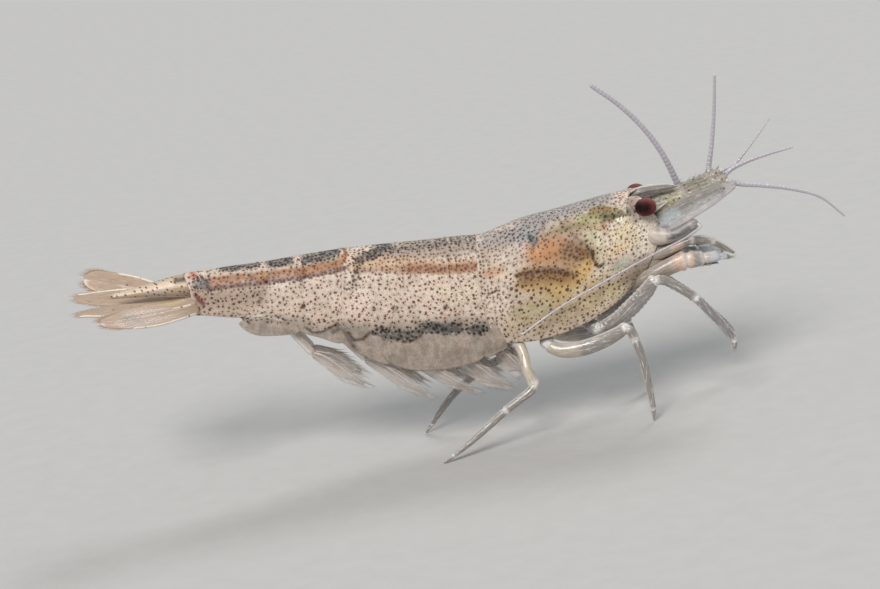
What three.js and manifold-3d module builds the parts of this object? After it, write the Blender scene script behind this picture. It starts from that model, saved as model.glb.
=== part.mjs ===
// An algae-eating freshwater shrimp (Caridina kind), life size: 40 mm from beak tip to tail-plate tip.
// It stands on its fourth and fifth walking legs, with the third pair lifted and the swimmerets swung
// forward. Millimetres: +X toward the head, +Y the animal's left, +Z up, the floor at z = 0.
// Every sub-part is one closed body, parted from its neighbours by a thin clear gap.

import * as THREE from 'three';
import { LoftGeometry } from 'three/addons/geometries/LoftGeometry.js';
import { mergeVertices } from 'three/addons/utils/BufferGeometryUtils.js';
import Module from 'manifold-3d';

const wasm = await Module();
wasm.setup();

// Driving dimensions. x = 0 is the back seam between the carapace and the first tail segment.

const GAP = 0.08; // clear gap between neighbouring pieces
const THIN = 0.5; // least thickness of a fin, plate or feeler
const ARCH = 0.68 * Math.PI; // how far round a shell plate reaches, from the back ridge to its lower edge
const LEFT = 1;
const RIGHT = -1;

// Height of the back ridge, of the flesh underneath, and half the body's width, each along x.
const BACK = [[-19.3, 14.95], [-16.8, 14.87], [-14.7, 14.75], [-12, 14.72], [-9.4, 14.65], [-7.3, 14.5],
  [-5.4, 14.32], [-2.8, 14.1], [-1.4, 14], [-0.2, 13.85], [1.3, 14.12], [2.7, 14.42], [5.5, 14.65],
  [8.3, 14.9], [10.3, 15.02], [11.5, 14.8]];
const BELLY = [[-19.3, 12.75], [-15.3, 11.35], [-13, 10.5], [-9.8, 9.5], [-6.6, 8.55], [-3.4, 7.8],
  [0, 7.3], [4, 7.2], [6.5, 7.9], [9, 9.3], [11.5, 10.9]];
const HALF_WIDTH = [[-19.3, 1.05], [-15.3, 1.45], [-13, 1.75], [-10, 2.1], [-6, 2.45], [-3, 2.55],
  [0, 2.55], [3, 2.8], [6, 2.8], [9, 2.35], [11.5, 1.6]];

// Lower edges of the tail's side plates and of the carapace, along x.
const TAIL_EDGE = [[-19.3, 12.9], [-16.95, 10.9], [-15.5, 10.25], [-13.7, 10], [-12.4, 9.75], [-10.6, 8.8],
  [-9.6, 8.1], [-7.25, 6.6], [-4.9, 6.05], [-3.25, 5.95], [-1.8, 5.95], [-0.3, 6.4]];
const LAST_EDGE = [[-19.5, 12.42], [-18.1, 12.05], [-16.8, 11.75], [-15, 11.55]]; // the sixth segment's
const CARAPACE_EDGE = [[0, 6.95], [2, 6.75], [4, 6.9], [6, 7.4], [8, 8.3], [10, 9.8], [11.7, 11.2]];
const CORNER_RISE = 0.5; // how much the corners of a side plate are rounded off
const KEEL = 0.1; // how far the underside bulges down along the middle

// Seams between the shell plates: x along z, from the carapace's rear edge to the root of the tail fan.
const SEAMS = [
  [[6.5, 0.1], [8.6, -0.4], [10.7, -0.6], [12.7, -0.4], [14, -0.1]],
  [[6, -1.2], [8, -1.4], [10, -2.1], [12, -2.5], [14, -2.2]],
  [[6.5, -7.6], [8, -7.3], [10, -6.6], [12, -5.9], [14.2, -5.5]],
  [[8, -10.6], [10, -10.1], [12, -9.6], [14.5, -9.2]],
  [[9, -13.1], [10.5, -12.8], [12.5, -12.4], [14.6, -12]],
  [[10.4, -17], [11.3, -16.6], [12, -15.7], [13, -15], [14.7, -14.7]],
  [[12.6, -19.2], [14, -19.3], [15, -19.5]],
];

// Front edge of the carapace: x from the back ridge (0) down to the lower edge (1), with the eye notch.
const FRONT_EDGE = [[0, 10.9], [0.1, 10.3], [0.2, 9.9], [0.32, 10.5], [0.45, 11.1], [0.6, 11.55],
  [0.78, 11.6], [0.9, 11.1], [1, 10.3]];

// Materials, by the look of each kind of surface.
const shell = new THREE.MeshStandardMaterial({ color: 0xc8b89c, roughness: 0.42 });
const fin = new THREE.MeshStandardMaterial({ color: 0xb9aa98, roughness: 0.38 });
const limbShell = new THREE.MeshStandardMaterial({ color: 0xb3aca0, roughness: 0.36 });
const swimmeretShell = new THREE.MeshStandardMaterial({ color: 0xa8a6a2, roughness: 0.4 });
const feeler = new THREE.MeshStandardMaterial({ color: 0xa9a7bd, roughness: 0.4 });
const eyeSurface = new THREE.MeshStandardMaterial({ color: 0x3a1014, roughness: 0.15 });

/** Smooth curve through (input, value) pairs that never swings past them (monotone cubic). */
function profile(points) {
  const slope = points.slice(1).map((p, i) => (p[1] - points[i][1]) / (p[0] - points[i][0]));
  const tangent = points.map((p, i) => {
    if (i === 0) return slope[0];
    if (i === slope.length) return slope[i - 1];
    const product = slope[i - 1] * slope[i];
    return product <= 0 ? 0 : (2 * product) / (slope[i - 1] + slope[i]);
  });
  return (input) => {
    const x = THREE.MathUtils.clamp(input, points[0][0], points[points.length - 1][0]);
    let i = 0;
    while (i < slope.length - 1 && x > points[i + 1][0]) i += 1;
    const width = points[i + 1][0] - points[i][0];
    const t = (x - points[i][0]) / width;
    const rest = 1 - t;
    return points[i][1] * (1 + 2 * t) * rest * rest + points[i + 1][1] * (3 - 2 * t) * t * t
      + width * t * rest * (tangent[i] * rest - tangent[i + 1] * t);
  };
}

const backAt = profile(BACK);
const bellyAt = profile(BELLY);
const halfWidthAt = profile(HALF_WIDTH);
const tailEdgeAt = profile(TAIL_EDGE);
const lastEdgeAt = profile(LAST_EDGE);
const carapaceEdgeAt = profile(CARAPACE_EDGE);
const frontEdgeAt = profile(FRONT_EDGE);
const seamAt = SEAMS.map((seam) => profile(seam));

/** A closed geometry as a solid: corners are shared by position alone. */
function solidOf(geometry) {
  const bare = new THREE.BufferGeometry();
  bare.setAttribute('position', geometry.getAttribute('position'));
  bare.setIndex(geometry.getIndex());
  const merged = mergeVertices(bare, 1e-5);
  return new wasm.Manifold(new wasm.Mesh({
    numProp: 3,
    vertProperties: merged.getAttribute('position').array,
    triVerts: Uint32Array.from(merged.getIndex().array),
  }));
}

/** The largest single piece of a solid, as a geometry with flat faces. */
function geometryOf(solid) {
  const pieces = solid.decompose();
  pieces.sort((a, b) => b.volume() - a.volume());
  const mesh = pieces[0].getMesh();
  const geometry = new THREE.BufferGeometry();
  geometry.setAttribute('position', new THREE.BufferAttribute(mesh.vertProperties, 3));
  geometry.setIndex(new THREE.BufferAttribute(mesh.triVerts, 1));
  geometry.computeVertexNormals();
  return geometry;
}

/** Skin over rings of points, closed at both ends. */
function loft(rings) {
  return solidOf(new LoftGeometry(rings, { capStart: true, capEnd: true }));
}

const RIB_STEPS = 8; // points down one side of a shell plate

/** Place on a plate's outside: t runs from the back ridge (0) to the lower edge (1). */
function archPoint(x, edge, t, grow) {
  const top = backAt(x) + grow;
  const drop = (top - edge) / (1 - Math.cos(ARCH));
  return [(halfWidthAt(x) + grow) * Math.sin(t * ARCH), top - drop * (1 - Math.cos(t * ARCH))];
}

/**
 * Cross ring of a body plate. The outside runs down each flank to the lower edge, the inside comes
 * back up the flap to the flesh, and the ring closes under the belly. xAt gives x at a height and a
 * place round the arch, and edgeAt the height of the lower edge at x.
 */
function plateRing(xAt, edgeAt, grow) {
  const outside = [];
  for (let i = 0; i <= RIB_STEPS; i += 1) {
    const t = i / RIB_STEPS;
    let x = xAt(10, t);
    let y = 0;
    let z = 10;
    for (let pass = 0; pass < 5; pass += 1) {
      [y, z] = archPoint(x, edgeAt(x) - grow, t, grow);
      x = xAt(z, t);
    }
    outside.push([x, y, z]);
  }
  const [x, y, z] = outside[RIB_STEPS];
  const belly = bellyAt(x) - grow;
  const inside = [
    [x, y - THIN - 2 * grow, Math.min(z, belly)],
    [x, y - THIN * 1.3 - 2 * grow, belly],
  ];
  const flank = [...outside.slice(1), ...inside];
  const right = flank.map(([px, py, pz]) => new THREE.Vector3(px, -py, pz));
  const left = flank.map(([px, py, pz]) => new THREE.Vector3(px, py, pz)).reverse();
  const ridge = new THREE.Vector3(...outside[0]);
  const keel = new THREE.Vector3(x, 0, belly - KEEL);
  return [ridge, ...right, keel, ...left];
}

/** One tail segment, between two seams; its side plates have rounded lower corners. */
function tailSegment(number, grow) {
  const steps = 3;
  const front = seamAt[number - 1];
  const rear = seamAt[number];
  const rings = [];
  for (let i = 0; i <= steps; i += 1) {
    const s = i / steps;
    const xAt = (z) => THREE.MathUtils.lerp(rear(z) + GAP / 2 - grow, front(z) - GAP / 2 + grow, s);
    const rise = CORNER_RISE * Math.abs(2 * s - 1) ** 4;
    const lobe = (x) => Math.min(tailEdgeAt(x), bellyAt(x) + 0.3) + rise;
    const edgeAt = number === 6 ? lastEdgeAt : lobe;
    rings.push(plateRing(xAt, edgeAt, grow));
  }
  return loft(rings);
}

/** A flat blade standing on edge along the ridge, with its top and bottom given along x. */
function beak(grow) {
  const start = 9;
  const tip = 13.45;
  const top = profile([[start, 14.6], [10.3, 15], [11, 15.12], [12, 15.07], [12.9, 14.92], [tip, 14.72]]);
  const bottom = profile([[start, 13.6], [10.3, 14.1], [11.7, 14.42], [12.8, 14.5], [tip, 14.64]]);
  const half = profile([[start, 0.5], [10.5, 0.4], [12.4, THIN / 2], [tip, THIN / 2]]);
  const rings = [];
  for (let i = 0; i <= 7; i += 1) {
    const x = THREE.MathUtils.lerp(start, tip + grow, i / 7);
    const w = half(x) + grow;
    const low = bottom(x) - grow;
    const high = top(x) + grow;
    const middle = (low + high) / 2;
    rings.push([[0, high], [-w * 0.6, high - 0.03], [-w, middle], [-w * 0.6, low + 0.03], [0, low],
      [w * 0.6, low + 0.03], [w, middle], [w * 0.6, high - 0.03]]
      .map(([y, z]) => new THREE.Vector3(x, y, z)));
  }
  return loft(rings);
}

/** The carapace with its beak, cut back at the front round the eyes and mouth. */
function carapace(grow) {
  const steps = 10;
  const rings = [];
  for (let i = 0; i <= steps; i += 1) {
    const s = i / steps;
    const xAt = (z, t) => THREE.MathUtils.lerp(seamAt[0](z) + GAP / 2 - grow, frontEdgeAt(t) + grow, s);
    rings.push(plateRing(xAt, carapaceEdgeAt, grow));
  }
  const last = rings[steps];
  const centre = last.reduce((sum, p) => sum.add(p), new THREE.Vector3()).divideScalar(last.length);
  rings.push(last.map((p) => p.clone().lerp(centre, 0.45).add(new THREE.Vector3(0.25, 0, 0))));
  return loft(rings).add(beak(grow));
}

const END_RINGS = [0.04, 0.6]; // rings that round off a limb's ends, in half widths from the end

/**
 * A limb, feeler or fin swept along stations of x, y, z, half width and half thickness. The width
 * lies along the across direction as nearly as the limb's own direction lets it. Both ends are round.
 */
function limb(stations, { across = [0, 1, 0], sides = 8, steps = 14, grow = 0 } = {}) {
  const points = stations.map(([x, y, z]) => new THREE.Vector3(x, y, z));
  const curve = new THREE.CatmullRomCurve3(points, false, 'centripetal');
  const share = (i) => i / (stations.length - 1);
  const wide = profile(stations.map((station, i) => [share(i), station[3]]));
  const thick = profile(stations.map((station, i) => [share(i), station[4] ?? station[3]]));
  const length = curve.getLength();
  const places = [];
  for (const end of END_RINGS) places.push(end * wide(0) / length, 1 - end * wide(1) / length);
  for (let i = 1; i < steps; i += 1) places.push(i / steps);
  places.sort((a, b) => a - b);
  const rings = places.map((place) => {
    const t = curve.getUtoTmapping(place);
    const centre = curve.getPoint(t);
    const along = curve.getTangent(t);
    const side = new THREE.Vector3(...across).projectOnPlane(along).normalize();
    const up = new THREE.Vector3().crossVectors(along, side);
    const inset = Math.min(place, 1 - place) * length;
    const radius = place < 0.5 ? wide(0) : wide(1);
    const reach = Math.min(1, inset / radius);
    const round = Math.sqrt(1 - (1 - reach) ** 2);
    const ring = [];
    for (let i = 0; i < sides; i += 1) {
      const angle = (2 * Math.PI * (i + 0.5)) / sides;
      ring.push(centre.clone()
        .addScaledVector(side, (wide(t) * round + grow) * Math.cos(angle))
        .addScaledVector(up, (thick(t) * round + grow) * Math.sin(angle)));
    }
    return ring;
  });
  return loft(rings);
}

/** The stations on one side of the body's middle plane. */
function onSide(side, stations) {
  return stations.map(([x, y, z, ...size]) => [x, side * y, z, ...size]);
}

/** The half space below the floor, which trims the feet flat. */
const underFloor = solidOf(new THREE.BoxGeometry(60, 30, 4).translate(0, 0, -2));

// The walking legs, from the hip to the toe: x, y, z, half width and, where it differs, half thickness.
// The left ones reach farther out: the front one is held lower and the rear one steps farther back.
const LEG_3 = [[5.6, 1.3, 7.4, 0.45], [6.5, 1.9, 6.62, 0.42, 0.46], [7.45, 2.15, 6.9, 0.42, 0.52],
  [8.8, 2.5, 7.78, 0.4, 0.6], [9.9, 2.7, 8.72, 0.38, 0.55], [10.6, 2.8, 9.33, 0.35, 0.4],
  [11, 2.83, 9.3, 0.35], [11.95, 2.95, 8.65, 0.33], [13, 3.1, 7.75, 0.33], [13.95, 3.2, 6.45, 0.31],
  [14.75, 3.35, 5.18, 0.3], [15.08, 3.4, 4.5, 0.26], [15.05, 3.42, 3.95, 0.25]];
const LEG_3_LEFT = [[5.6, 1.3, 7.4, 0.45], [6.7, 1.9, 6.5, 0.42, 0.46], [7.8, 2.15, 6.45, 0.42, 0.52],
  [9.4, 2.5, 6.95, 0.4, 0.6], [10.7, 2.7, 7.6, 0.38, 0.55], [11.45, 2.8, 8, 0.35, 0.4],
  [11.9, 2.83, 7.95, 0.35], [12.85, 2.95, 7.2, 0.33], [13.87, 3.1, 6.2, 0.33], [14.9, 3.2, 4.9, 0.31],
  [15.85, 3.35, 3.7, 0.3], [16.25, 3.4, 3, 0.26], [16.25, 3.42, 2.45, 0.25]];
const LEG_4 = [[3.1, 1.25, 7.1, 0.45], [3, 1.8, 6.15, 0.44], [3.65, 2.15, 5.7, 0.42, 0.46],
  [4.8, 2.4, 5.6, 0.42, 0.54], [6.4, 2.7, 5.88, 0.4, 0.52], [7.6, 3, 6.35, 0.37, 0.44],
  [8.15, 3.2, 6.62, 0.34], [8.38, 3.25, 6.4, 0.33], [8.58, 3.3, 5.8, 0.32], [8.83, 3.4, 4.6, 0.3],
  [9.02, 3.45, 2.2, 0.26], [9.06, 3.5, 0.9, 0.25], [8.98, 3.5, -0.4, 0.25]];
const LEG_4_LEFT = [[3.6, 1.25, 7.1, 0.45], [3.6, 1.8, 6.15, 0.44], [4.3, 2.15, 5.6, 0.42, 0.46],
  [5.5, 2.4, 5.35, 0.42, 0.54], [7.1, 2.7, 5.45, 0.4, 0.52], [8.3, 3, 5.82, 0.37, 0.44],
  [8.75, 3.2, 6.05, 0.34], [8.95, 3.25, 5.8, 0.33], [9.13, 3.3, 5.2, 0.32], [9.45, 3.4, 4.1, 0.3],
  [9.77, 3.45, 2, 0.26], [9.9, 3.5, 0.9, 0.25], [9.88, 3.5, -0.4, 0.25]];
const LEG_5 = [[0.8, 1.25, 7.2, 0.44], [1.05, 1.85, 6.6, 0.4], [1.22, 2.4, 5.9, 0.35], [1.24, 2.9, 5, 0.33],
  [1.38, 3.1, 4.4, 0.35], [1.48, 3.2, 3.98, 0.34], [1.2, 3.3, 3.65, 0.31], [0.54, 3.37, 3.3, 0.3],
  [-0.68, 3.5, 2.68, 0.3], [-2.15, 3.62, 1.78, 0.29], [-3.55, 3.75, 0.95, 0.27], [-4.6, 3.85, 0.35, 0.25],
  [-5.5, 3.93, -0.4, 0.25]];
const LEG_5_LEFT = [[0.7, 1.25, 7.3, 0.44], [0.6, 1.85, 6.7, 0.42], [0.4, 2.4, 6, 0.36],
  [0.25, 2.9, 5.3, 0.33], [0.3, 3.1, 4.85, 0.35], [0.4, 3.15, 4.6, 0.34], [0.1, 3.2, 4.42, 0.31],
  [-0.7, 3.2, 4.1, 0.3], [-1.8, 3.22, 3.62, 0.3], [-2.9, 3.28, 2.95, 0.29], [-4.3, 3.4, 1.75, 0.27],
  [-5.35, 3.5, 0.6, 0.25], [-6.1, 3.57, -0.4, 0.25]];

// The two short grasping legs, the outer jaw leg and the mouth.
const CHELIPED_1 = [[9.3, 0.7, 9.4, 0.4], [10.7, 0.8, 9.75, 0.5], [12, 0.85, 9.95, 0.55],
  [13, 0.9, 10.1, 0.55], [13.6, 0.95, 9.98, 0.42], [14.2, 0.95, 9.8, 0.42], [15, 1, 9.75, 0.42],
  [15.6, 1, 9.65, 0.34], [16.15, 1, 9.42, 0.25]];
const CHELIPED_2 = [[8.6, 1.2, 8.8, 0.4], [10.1, 1.8, 9.3, 0.44], [11.6, 2, 9.82, 0.48],
  [12.9, 2, 10.05, 0.48], [13.6, 2, 9.98, 0.38], [14.2, 2, 9.9, 0.4], [14.9, 2, 9.85, 0.34],
  [15.45, 2, 9.82, 0.25]];
const MAXILLIPED = [[10.4, 0.9, 10.5, 0.36], [11.6, 1.6, 10.8, 0.36], [12.7, 1.9, 11.2, 0.33],
  [13.5, 2, 11.36, 0.3], [14.2, 2, 11.3, 0.28], [14.85, 2, 11, 0.27], [15.5, 1.9, 10.52, 0.26],
  [16.15, 1.75, 9.95, 0.25]];
const MAXILLIPED_LEFT = [[10.2, 0.9, 10.4, 0.36], [10.9, 1.6, 10.5, 0.36], [11.6, 1.85, 10.85, 0.33],
  [12.3, 1.95, 11, 0.3], [13, 1.95, 10.95, 0.28], [13.6, 1.9, 10.75, 0.27], [14.2, 1.8, 10.45, 0.25]];
const MOUTH = [[9.7, 0, 11.2, 0.9, 1], [10.6, 0, 11.1, 1.05, 1.1], [11.5, 0, 11, 0.95, 0.95],
  [12.4, 0, 10.9, 0.5, 0.6]];

// Eyes on their stalks: the stalk runs out sideways from under the beak's root.
const EYE_RADIUS = 0.66;
const EYE_STRETCH = 1.13; // the eye is this much longer than it is high
const EYE_CENTRE = { [RIGHT]: [10.75, 2.4, 14.25], [LEFT]: [10.95, 2.4, 14.25] };
const EYE_STALK = [[10.1, 0.75, 14.35, 0.42], [10.3, 1.3, 14.4, 0.4], [10.6, 2, 14.3, 0.45]];

// First antennae: a three-part stem ending in two feelers; second antennae: stem, scale and long feeler.
const ANTENNULE = [[10.9, 0.7, 13.7, 0.5, 0.55], [12.4, 0.85, 13.92, 0.52, 0.5],
  [14.6, 0.95, 14.34, 0.46, 0.42], [15.8, 1, 14.64, 0.38, 0.36], [16.5, 1.05, 14.88, 0.32, 0.32]];
const ANTENNA_STEM = [[10.9, 1.25, 12.2, 0.75], [11.6, 1.75, 12, 0.66], [12.5, 2.15, 11.98, 0.46],
  [13.5, 2.3, 12.4, 0.42], [13.95, 2.32, 12.58, 0.34]];
const SCALE = [[11.2, 1.35, 12.95, 0.5, 0.25], [12.3, 1.75, 13.15, 0.8, 0.25], [13.6, 2, 13.5, 0.88, 0.25],
  [15, 2.1, 13.95, 0.78, 0.25], [16.2, 2.1, 14.3, 0.5, 0.25], [16.8, 2.05, 14.45, 0.3, 0.25]];
const SCALE_ACROSS = { [RIGHT]: [0, -0.62, -0.78], [LEFT]: [0, 0.62, -0.78] };

// The six long feelers. All are drawn THIN at least, though a living one tapers to a hair.
const FEELER = THIN / 2;
const FEELERS = {
  antenna_flagellum_right: [[14.12, -2.55, 12.34], [13.75, -2.75, 12.1], [12.97, -2.95, 11.84],
    [10.81, -3.12, 11.22], [6.87, -3.35, 9.93], [4.02, -3.4, 8.91], [1.2, -3.55, 7.6]],
  antenna_flagellum_left: [[14.25, 2.35, 12.8], [14, 2.4, 13.6], [13.67, 2.4, 14.9], [13, 2.4, 16.84],
    [12.21, 2.5, 18.35], [10.82, 2.7, 20.24], [9.08, 3, 21.96]],
  antennule_inner_right: [[16.85, -0.72, 15.2], [18, -0.75, 15.63], [19.38, -0.85, 15.87],
    [21.27, -1, 16.08]],
  antennule_outer_right: [[16.95, -1.35, 14.5], [18.65, -1.4, 14.02], [20.59, -1.5, 13.43],
    [22.48, -1.6, 12.54], [23.93, -1.8, 10.99]],
  antennule_inner_left: [[15.95, 1.3, 15.45], [16.24, 1.35, 16.41], [16.71, 1.4, 18.38],
    [17.23, 1.5, 21.35]],
  antennule_outer_left: [[17, 1, 15.05], [17.5, 1.05, 15.15], [18.46, 1.15, 15.89], [19.43, 1.25, 16.79],
    [20.5, 1.4, 17.81]],
};

// Tail fan: the tail plate and, each side, an inner and an outer paddle, spread unevenly.
const TELSON = [[-19.4, 0, 14.2, 0.85, 0.82], [-20.4, 0, 14.3, 0.84, 0.73], [-21.5, 0, 14.36, 0.76, 0.57],
  [-22.8, 0, 14.4, 0.6, 0.38], [-24.2, 0, 14.42, 0.42, 0.27], [-24.9, 0, 14.42, 0.32, 0.25]];
const PADDLES = {
  uropod_right_inner: [[-19.5, -0.95, 13.35, 0.35, 0.3], [-21, -1.35, 13.45, 0.6, 0.26],
    [-23.2, -1.75, 13.68, 0.82, 0.25], [-25.3, -2.05, 13.98, 0.6, 0.25], [-27, -2.2, 14.15, 0.25, 0.25]],
  uropod_right_outer: [[-19.5, -1, 12.85, 0.4, 0.3], [-20.8, -2.05, 13.08, 0.78, 0.27],
    [-22.3, -3.1, 13.36, 1.02, 0.25], [-23.8, -4.15, 13.65, 0.94, 0.25], [-25.4, -5, 13.94, 0.45, 0.25]],
  uropod_left_inner: [[-19.5, 0.95, 13.4, 0.35, 0.3], [-21, 1.35, 13.5, 0.6, 0.26],
    [-22.6, 1.65, 13.65, 0.8, 0.25], [-24.2, 1.85, 13.83, 0.86, 0.25], [-25.9, 2.05, 14.02, 0.68, 0.25],
    [-27.4, 2.2, 14.3, 0.3, 0.25]],
  uropod_left_outer: [[-19.5, 1.05, 12.7, 0.4, 0.3], [-20.95, 2.2, 13.05, 0.5, 0.26],
    [-22.4, 3.1, 13.6, 0.66, 0.25], [-24, 3.6, 14.18, 0.8, 0.25], [-25.6, 3.85, 14.75, 0.76, 0.25],
    [-26.7, 4, 15.1, 0.45, 0.25]],
};
const PADDLE_ACROSS = {
  uropod_right_inner: [-0.1, 1, 0.3],
  uropod_right_outer: [0.25, 1, 0.3],
  uropod_left_inner: [0, 1, 0.45],
  uropod_left_outer: [-0.25, 0.6, 0.8],
};

// Swimmerets, front to rear: hip, knee where the two blades part, and the tip of the outer blade.
const SWIMMERETS = [
  { hip: [-1.6, 0.9, 7.4], knee: [-0.4, 1.1, 5.9], tip: [1, 1.7, 4.7] },
  { hip: [-4.6, 0.95, 7.8], knee: [-3, 1.15, 6], tip: [-0.5, 1.9, 4.05] },
  { hip: [-7.9, 0.9, 8.6], knee: [-6, 1.1, 6.5], tip: [-2.6, 1.9, 4.15] },
  { hip: [-10.9, 0.7, 9.6], knee: [-9, 0.95, 7.2], tip: [-5.7, 1.8, 4.5] },
  { hip: [-13.9, 0.5, 10.4], knee: [-12.4, 0.75, 8.2], tip: [-9.7, 1.6, 5.95] },
];

/** One swimmeret: a stem widening into the outer blade, and a narrower inner blade just above it. */
function swimmeret(side, { hip, knee, tip }, grow) {
  const across = [0.45, side, 0.5];
  const at = (share, y, lift) => [
    THREE.MathUtils.lerp(knee[0], tip[0], share),
    side * y,
    THREE.MathUtils.lerp(knee[2], tip[2], share) + lift,
  ];
  const outer = limb([
    [hip[0], side * hip[1], hip[2], 0.36, 0.36],
    [...at(0, knee[1], 0), 0.38, 0.28],
    [...at(0.4, (knee[1] + tip[1]) / 2 + 0.15, 0), 0.7, 0.25],
    [...at(0.75, tip[1] + 0.1, 0), 0.55, 0.25],
    [...at(1, tip[1], 0), 0.27, 0.25],
  ], { across, sides: 6, steps: 4, grow });
  const inner = limb([
    [...at(-0.05, knee[1] - 0.2, 0.05), 0.3, 0.25],
    [...at(0.35, knee[1] - 0.45, 0.3), 0.45, 0.25],
    [...at(0.8, knee[1] - 0.4, 0.4), 0.28, 0.25],
  ], { across, sides: 6, steps: 2, grow });
  return outer.add(inner);
}

/** An eye: the round cornea on its stalk. */
function eye(side, grow) {
  const [x, y, z] = EYE_CENTRE[side];
  const ball = new THREE.IcosahedronGeometry(EYE_RADIUS + grow, 2);
  ball.scale(EYE_STRETCH, 1, 1);
  ball.translate(x, side * y, z);
  return solidOf(indexed(ball)).add(limb(onSide(side, EYE_STALK), { sides: 6, steps: 2, grow }));
}

/** A geometry with an index, made by sharing its equal corners. */
function indexed(geometry) {
  const bare = new THREE.BufferGeometry();
  bare.setAttribute('position', geometry.getAttribute('position'));
  return mergeVertices(bare, 1e-5);
}

const model = new THREE.Group();
const placed = []; // what stands already, each grown by the gap

/** Adds a sub-part, given as a function of how much it is grown, cut clear of all placed before it. */
function place(name, material, shape) {
  let solid = shape(0);
  for (const neighbour of placed) solid = solid.subtract(neighbour);
  placed.push(shape(GAP));
  const mesh = new THREE.Mesh(geometryOf(solid), material);
  mesh.name = name;
  model.add(mesh);
}

place('carapace', shell, (grow) => carapace(grow));
for (let number = 1; number <= 6; number += 1) {
  place(`abdomen_${number}`, shell, (grow) => tailSegment(number, grow));
}
place('telson', fin, (grow) => limb(TELSON, { steps: 6, grow }));
place('mouthparts', limbShell, (grow) => limb(MOUTH, { steps: 6, grow }));

for (const [side, hand] of [[RIGHT, 'right'], [LEFT, 'left']]) {
  place(`eye_${hand}`, eyeSurface, (grow) => eye(side, grow));
  place(`antennule_${hand}`, limbShell, (grow) => limb(onSide(side, ANTENNULE), { steps: 7, grow }));
  place(`antenna_${hand}`, limbShell, (grow) => limb(onSide(side, ANTENNA_STEM), { steps: 6, grow }));
  place(`antenna_scale_${hand}`, fin,
    (grow) => limb(onSide(side, SCALE), { across: SCALE_ACROSS[side], sides: 6, steps: 7, grow }));
  place(`maxilliped_3_${hand}`, limbShell,
    (grow) => limb(onSide(side, side === LEFT ? MAXILLIPED_LEFT : MAXILLIPED), { sides: 6, steps: 8, grow }));
  place(`cheliped_1_${hand}`, limbShell,
    (grow) => limb(onSide(side, CHELIPED_1), { sides: 7, steps: 10, grow }));
  place(`cheliped_2_${hand}`, limbShell,
    (grow) => limb(onSide(side, CHELIPED_2), { sides: 7, steps: 8, grow }));
}

for (const [name, path] of Object.entries(FEELERS)) {
  const stations = path.map((point) => [...point, FEELER]);
  place(name, feeler, (grow) => limb(stations, { across: [0, 1, 0.1], sides: 6, steps: 8, grow }));
}

const LEGS = {
  leg_3_right: onSide(RIGHT, LEG_3),
  leg_3_left: onSide(LEFT, LEG_3_LEFT),
  leg_4_right: onSide(RIGHT, LEG_4),
  leg_4_left: onSide(LEFT, LEG_4_LEFT),
  leg_5_right: onSide(RIGHT, LEG_5),
  leg_5_left: onSide(LEFT, LEG_5_LEFT),
};
for (const [name, stations] of Object.entries(LEGS)) {
  place(name, limbShell, (grow) => limb(stations, { sides: 6, steps: 14, grow }).subtract(underFloor));
}

for (const [side, hand] of [[RIGHT, 'right'], [LEFT, 'left']]) {
  SWIMMERETS.forEach((joints, i) => {
    place(`swimmeret_${i + 1}_${hand}`, swimmeretShell, (grow) => swimmeret(side, joints, grow));
  });
}

for (const [name, stations] of Object.entries(PADDLES)) {
  place(name, fin, (grow) => limb(stations, { across: PADDLE_ACROSS[name], sides: 6, steps: 7, grow }));
}

// The origin is the middle of the bounding box, at floor height.
const box = new THREE.Box3().setFromObject(model);
const centre = box.getCenter(new THREE.Vector3());
model.children.forEach((mesh) => mesh.geometry.translate(-centre.x, -centre.y, -box.min.z));

export default model;
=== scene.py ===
import bpy
import numpy as np
from mathutils import Matrix, Vector


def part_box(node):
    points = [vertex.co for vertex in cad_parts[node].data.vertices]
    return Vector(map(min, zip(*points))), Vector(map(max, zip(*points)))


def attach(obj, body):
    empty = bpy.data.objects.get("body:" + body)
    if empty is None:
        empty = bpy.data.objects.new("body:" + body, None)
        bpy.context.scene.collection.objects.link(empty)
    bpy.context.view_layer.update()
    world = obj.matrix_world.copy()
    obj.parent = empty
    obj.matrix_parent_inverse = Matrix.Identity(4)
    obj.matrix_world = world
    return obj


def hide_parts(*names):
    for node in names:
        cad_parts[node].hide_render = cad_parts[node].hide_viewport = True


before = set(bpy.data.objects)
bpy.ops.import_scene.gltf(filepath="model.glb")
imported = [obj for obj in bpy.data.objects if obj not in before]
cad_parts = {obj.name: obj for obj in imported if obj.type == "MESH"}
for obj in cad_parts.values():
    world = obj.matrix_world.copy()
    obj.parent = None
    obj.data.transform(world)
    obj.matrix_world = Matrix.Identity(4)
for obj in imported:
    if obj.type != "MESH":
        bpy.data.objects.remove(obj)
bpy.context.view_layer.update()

# ------------------------------------------------------------------------------------------ camera
# A long lens looks across the shrimp's right side, a little from above, rolled so that the floor
# climbs to the right. Lengths below are millimetres from the back seam between carapace and tail,
# on the middle plane at floor height: +X to the head, +Y to the shrimp's left, +Z up.
BEAK_TIP_X = 13.45
shell_low, shell_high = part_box("carapace")
SEAM = np.array([shell_high.x * 1000 - BEAK_TIP_X, (shell_low.y + shell_high.y) * 500, 0.0])


def metres(points):
    """Points in the frame's own metres: moved by where the seam stands, then divided by 1000."""
    return (np.asarray(points, float) + SEAM) / 1000


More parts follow.
